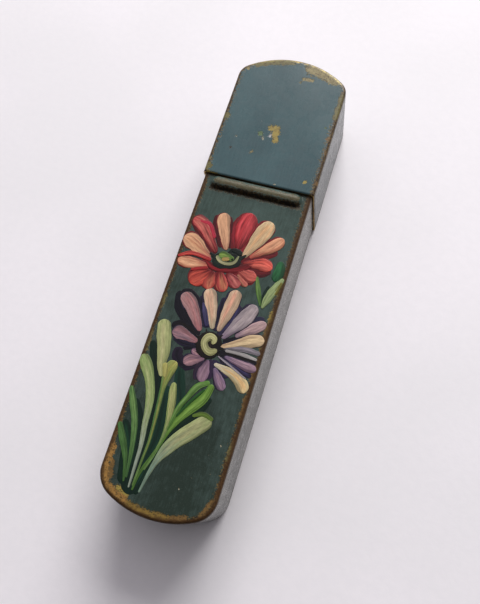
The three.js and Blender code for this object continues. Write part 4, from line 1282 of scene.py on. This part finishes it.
# %% Thumb knob
def knob_height(y, z):
    """Thickness over the back: five ribs across, ends that round off, and a pocket for the screw.

    Near each end the height follows a quarter ellipse. In the pocket it drops by the depth."""
    thick, length, breadth = knob_high - knob_low
    ease, pitch, half_rib, valley = 0.22, 1.6, 0.45, 0.6
    along, across = np.abs(y - knob_mid[1]), np.abs(z - knob_mid[2])
    off_rib = np.abs((along + pitch / 2) % pitch - pitch / 2)
    top = thick * (valley + (1 - valley) * smoothstep(half_rib + 0.12, half_rib - 0.12, off_rib))
    for distance, reach in ((along, length / 2), (across, breadth / 2)):
        into = np.clip((distance - reach + ease) / ease, 0, 1)
        top = top * np.sqrt(1 - into ** 2)
    radius = np.hypot(y - knob_mid[1], z - knob_mid[2])
    return np.minimum(top, thick - HEAD_DEPTH * smoothstep(1.16, 1.02, radius))


def dense(low, high, count):
    """Places from low to high that crowd toward both ends."""
    t = np.linspace(-1, 1, count)
    return (low + high) / 2 + (high - low) / 2 * (0.82 * t + 0.18 * np.sin(math.pi * t / 2) ** 3)


HEAD_DEPTH = 0.52  # of the screw's head in its pocket, less than the knob's thickness
knob_low, knob_high = span("slider_knob")
screw_low, screw_high = span("slider_screw")
knob_mid = (knob_low + knob_high) / 2
ky, kz = np.meshgrid(dense(knob_low[1], knob_high[1], 170), dense(knob_low[2], knob_high[2], 110),
                     indexing="ij")
knob_top = np.stack([knob_high[0] - knob_height(ky, kz), ky, kz], -1)
knob_back = np.stack([np.full_like(ky, knob_high[0]), ky, kz], -1)
assert knob_height(ky, kz).min() >= 0, "the knob's front must stay in front of its back"
knob = mesh_of("thumb_knob", np.concatenate([knob_top.reshape(-1, 3), knob_back.reshape(-1, 3)]),
               np.concatenate([grid_faces(*ky.shape), grid_faces(*ky.shape, start=ky.size)[:, ::-1]]))
add_piece("thumb_knob", outward(knob), "carriage", "brass", turned_brass, stands_for=["slider_knob"])
print("thumb knob:", len(knob.polygons), "faces; screw", np.round(screw_low, 2), np.round(screw_high, 2))


# %% Screw and hidden parts
eased_copy("knob_screw", "slider_screw", "carriage", "spring_steel", spring_steel, 0.04)
HIDDEN = {
    "tube_bridge": inner_brass, "carrier": turned_brass, "carrier_spring": spring_steel,
    "push_rod": turned_brass, "rod_pin": spring_steel, "slider_block": turned_brass,
    "slider_stem": turned_brass, "slider_shoe": turned_brass, "slider_leaf_spring": spring_steel,
}
for node, material in HIDDEN.items():
    for place in frame["nodes"][node].material_slots:
        place.material = material
print(len(HIDDEN), "hidden parts finished")

# %% [markdown]
# ## The floor and the light
# The case lies on pale paper. One broad soft window stands beyond its crown, a little to the
# right, and the room in front is dimmer. That is what lights the bead's far side, leaves its
# near side dark, and lets the shadow fall toward the foot.

# %% Floor
paper = Finish("pale_paper", Roughness=0.7)
fibre = paper.noise(0.7, 5, 0.6)
cloudy = paper.noise(0.02, 2)
paper_color = paper.mix(paper.span(cloudy, 0.35, 0.65), linear(240, 236, 240), linear(234, 231, 234))
paper_color = paper.mix(paper.span(fibre, 0.3, 0.7, 0, 0.2), paper_color, linear(226, 224, 228))
paper.wear(Base_Color=paper_color, Normal=paper.bump(fibre, 0.02))
FLOOR_REACH = 900
reach = np.linspace(-FLOOR_REACH, FLOOR_REACH, 25)
fx, fy = np.meshgrid(reach, reach, indexing="ij")
floor_mesh = mesh_of("floor", np.stack([fx, fy, np.zeros_like(fx)], -1).reshape(-1, 3),
                     grid_faces(*fx.shape)[:, ::-1])
floor = bpy.data.objects.new("floor", floor_mesh)
floor_mesh.materials.append(paper.material)
bpy.context.scene.collection.objects.link(floor)
print("floor", len(floor_mesh.polygons), "faces, facing", floor_mesh.polygons[0].normal.z)


# %% Light
def window(name, place, size, watts, color=(1, 1, 1)):
    """A square soft light at a place, facing the middle of the case."""
    lamp = bpy.data.objects.new(name, bpy.data.lights.new(name, "AREA"))
    lamp.data.shape = "SQUARE"
    lamp.data.size = size
    lamp.data.energy = watts
    lamp.data.color = color
    lamp.location = place
    lamp.rotation_euler = (-Vector(place)).to_track_quat("-Z", "Y").to_euler()
    bpy.context.scene.collection.objects.link(lamp)
    return lamp


window("far_window", (0.04, 0.66, 0.42), 0.5, 7.9, (1.0, 0.99, 0.98))
room = bpy.data.worlds.new("room")
room.use_nodes = True
tree = room.node_tree
sky = tree.nodes["Background"]
sky.inputs["Color"].default_value = (0.95, 0.92, 0.97, 1)
way = tree.nodes.new("ShaderNodeTexCoord")
toward = tree.nodes.new("ShaderNodeVectorMath")
toward.operation = "DOT_PRODUCT"
toward.inputs[1].default_value = (-0.12, 0.88, 0.46)
glow = tree.nodes.new("ShaderNodeMapRange")
glow.interpolation_type = "SMOOTHSTEP"
for socket, value in zip(glow.inputs[1:5], (-0.25, 1.0, 0.03, 0.8)):
    socket.default_value = value
tree.links.new(way.outputs["Generated"], toward.inputs[0])
tree.links.new(toward.outputs["Value"], glow.inputs[0])
tree.links.new(glow.outputs[0], sky.inputs["Strength"])
bpy.context.scene.world = room
print("lights: 1 window and the room")
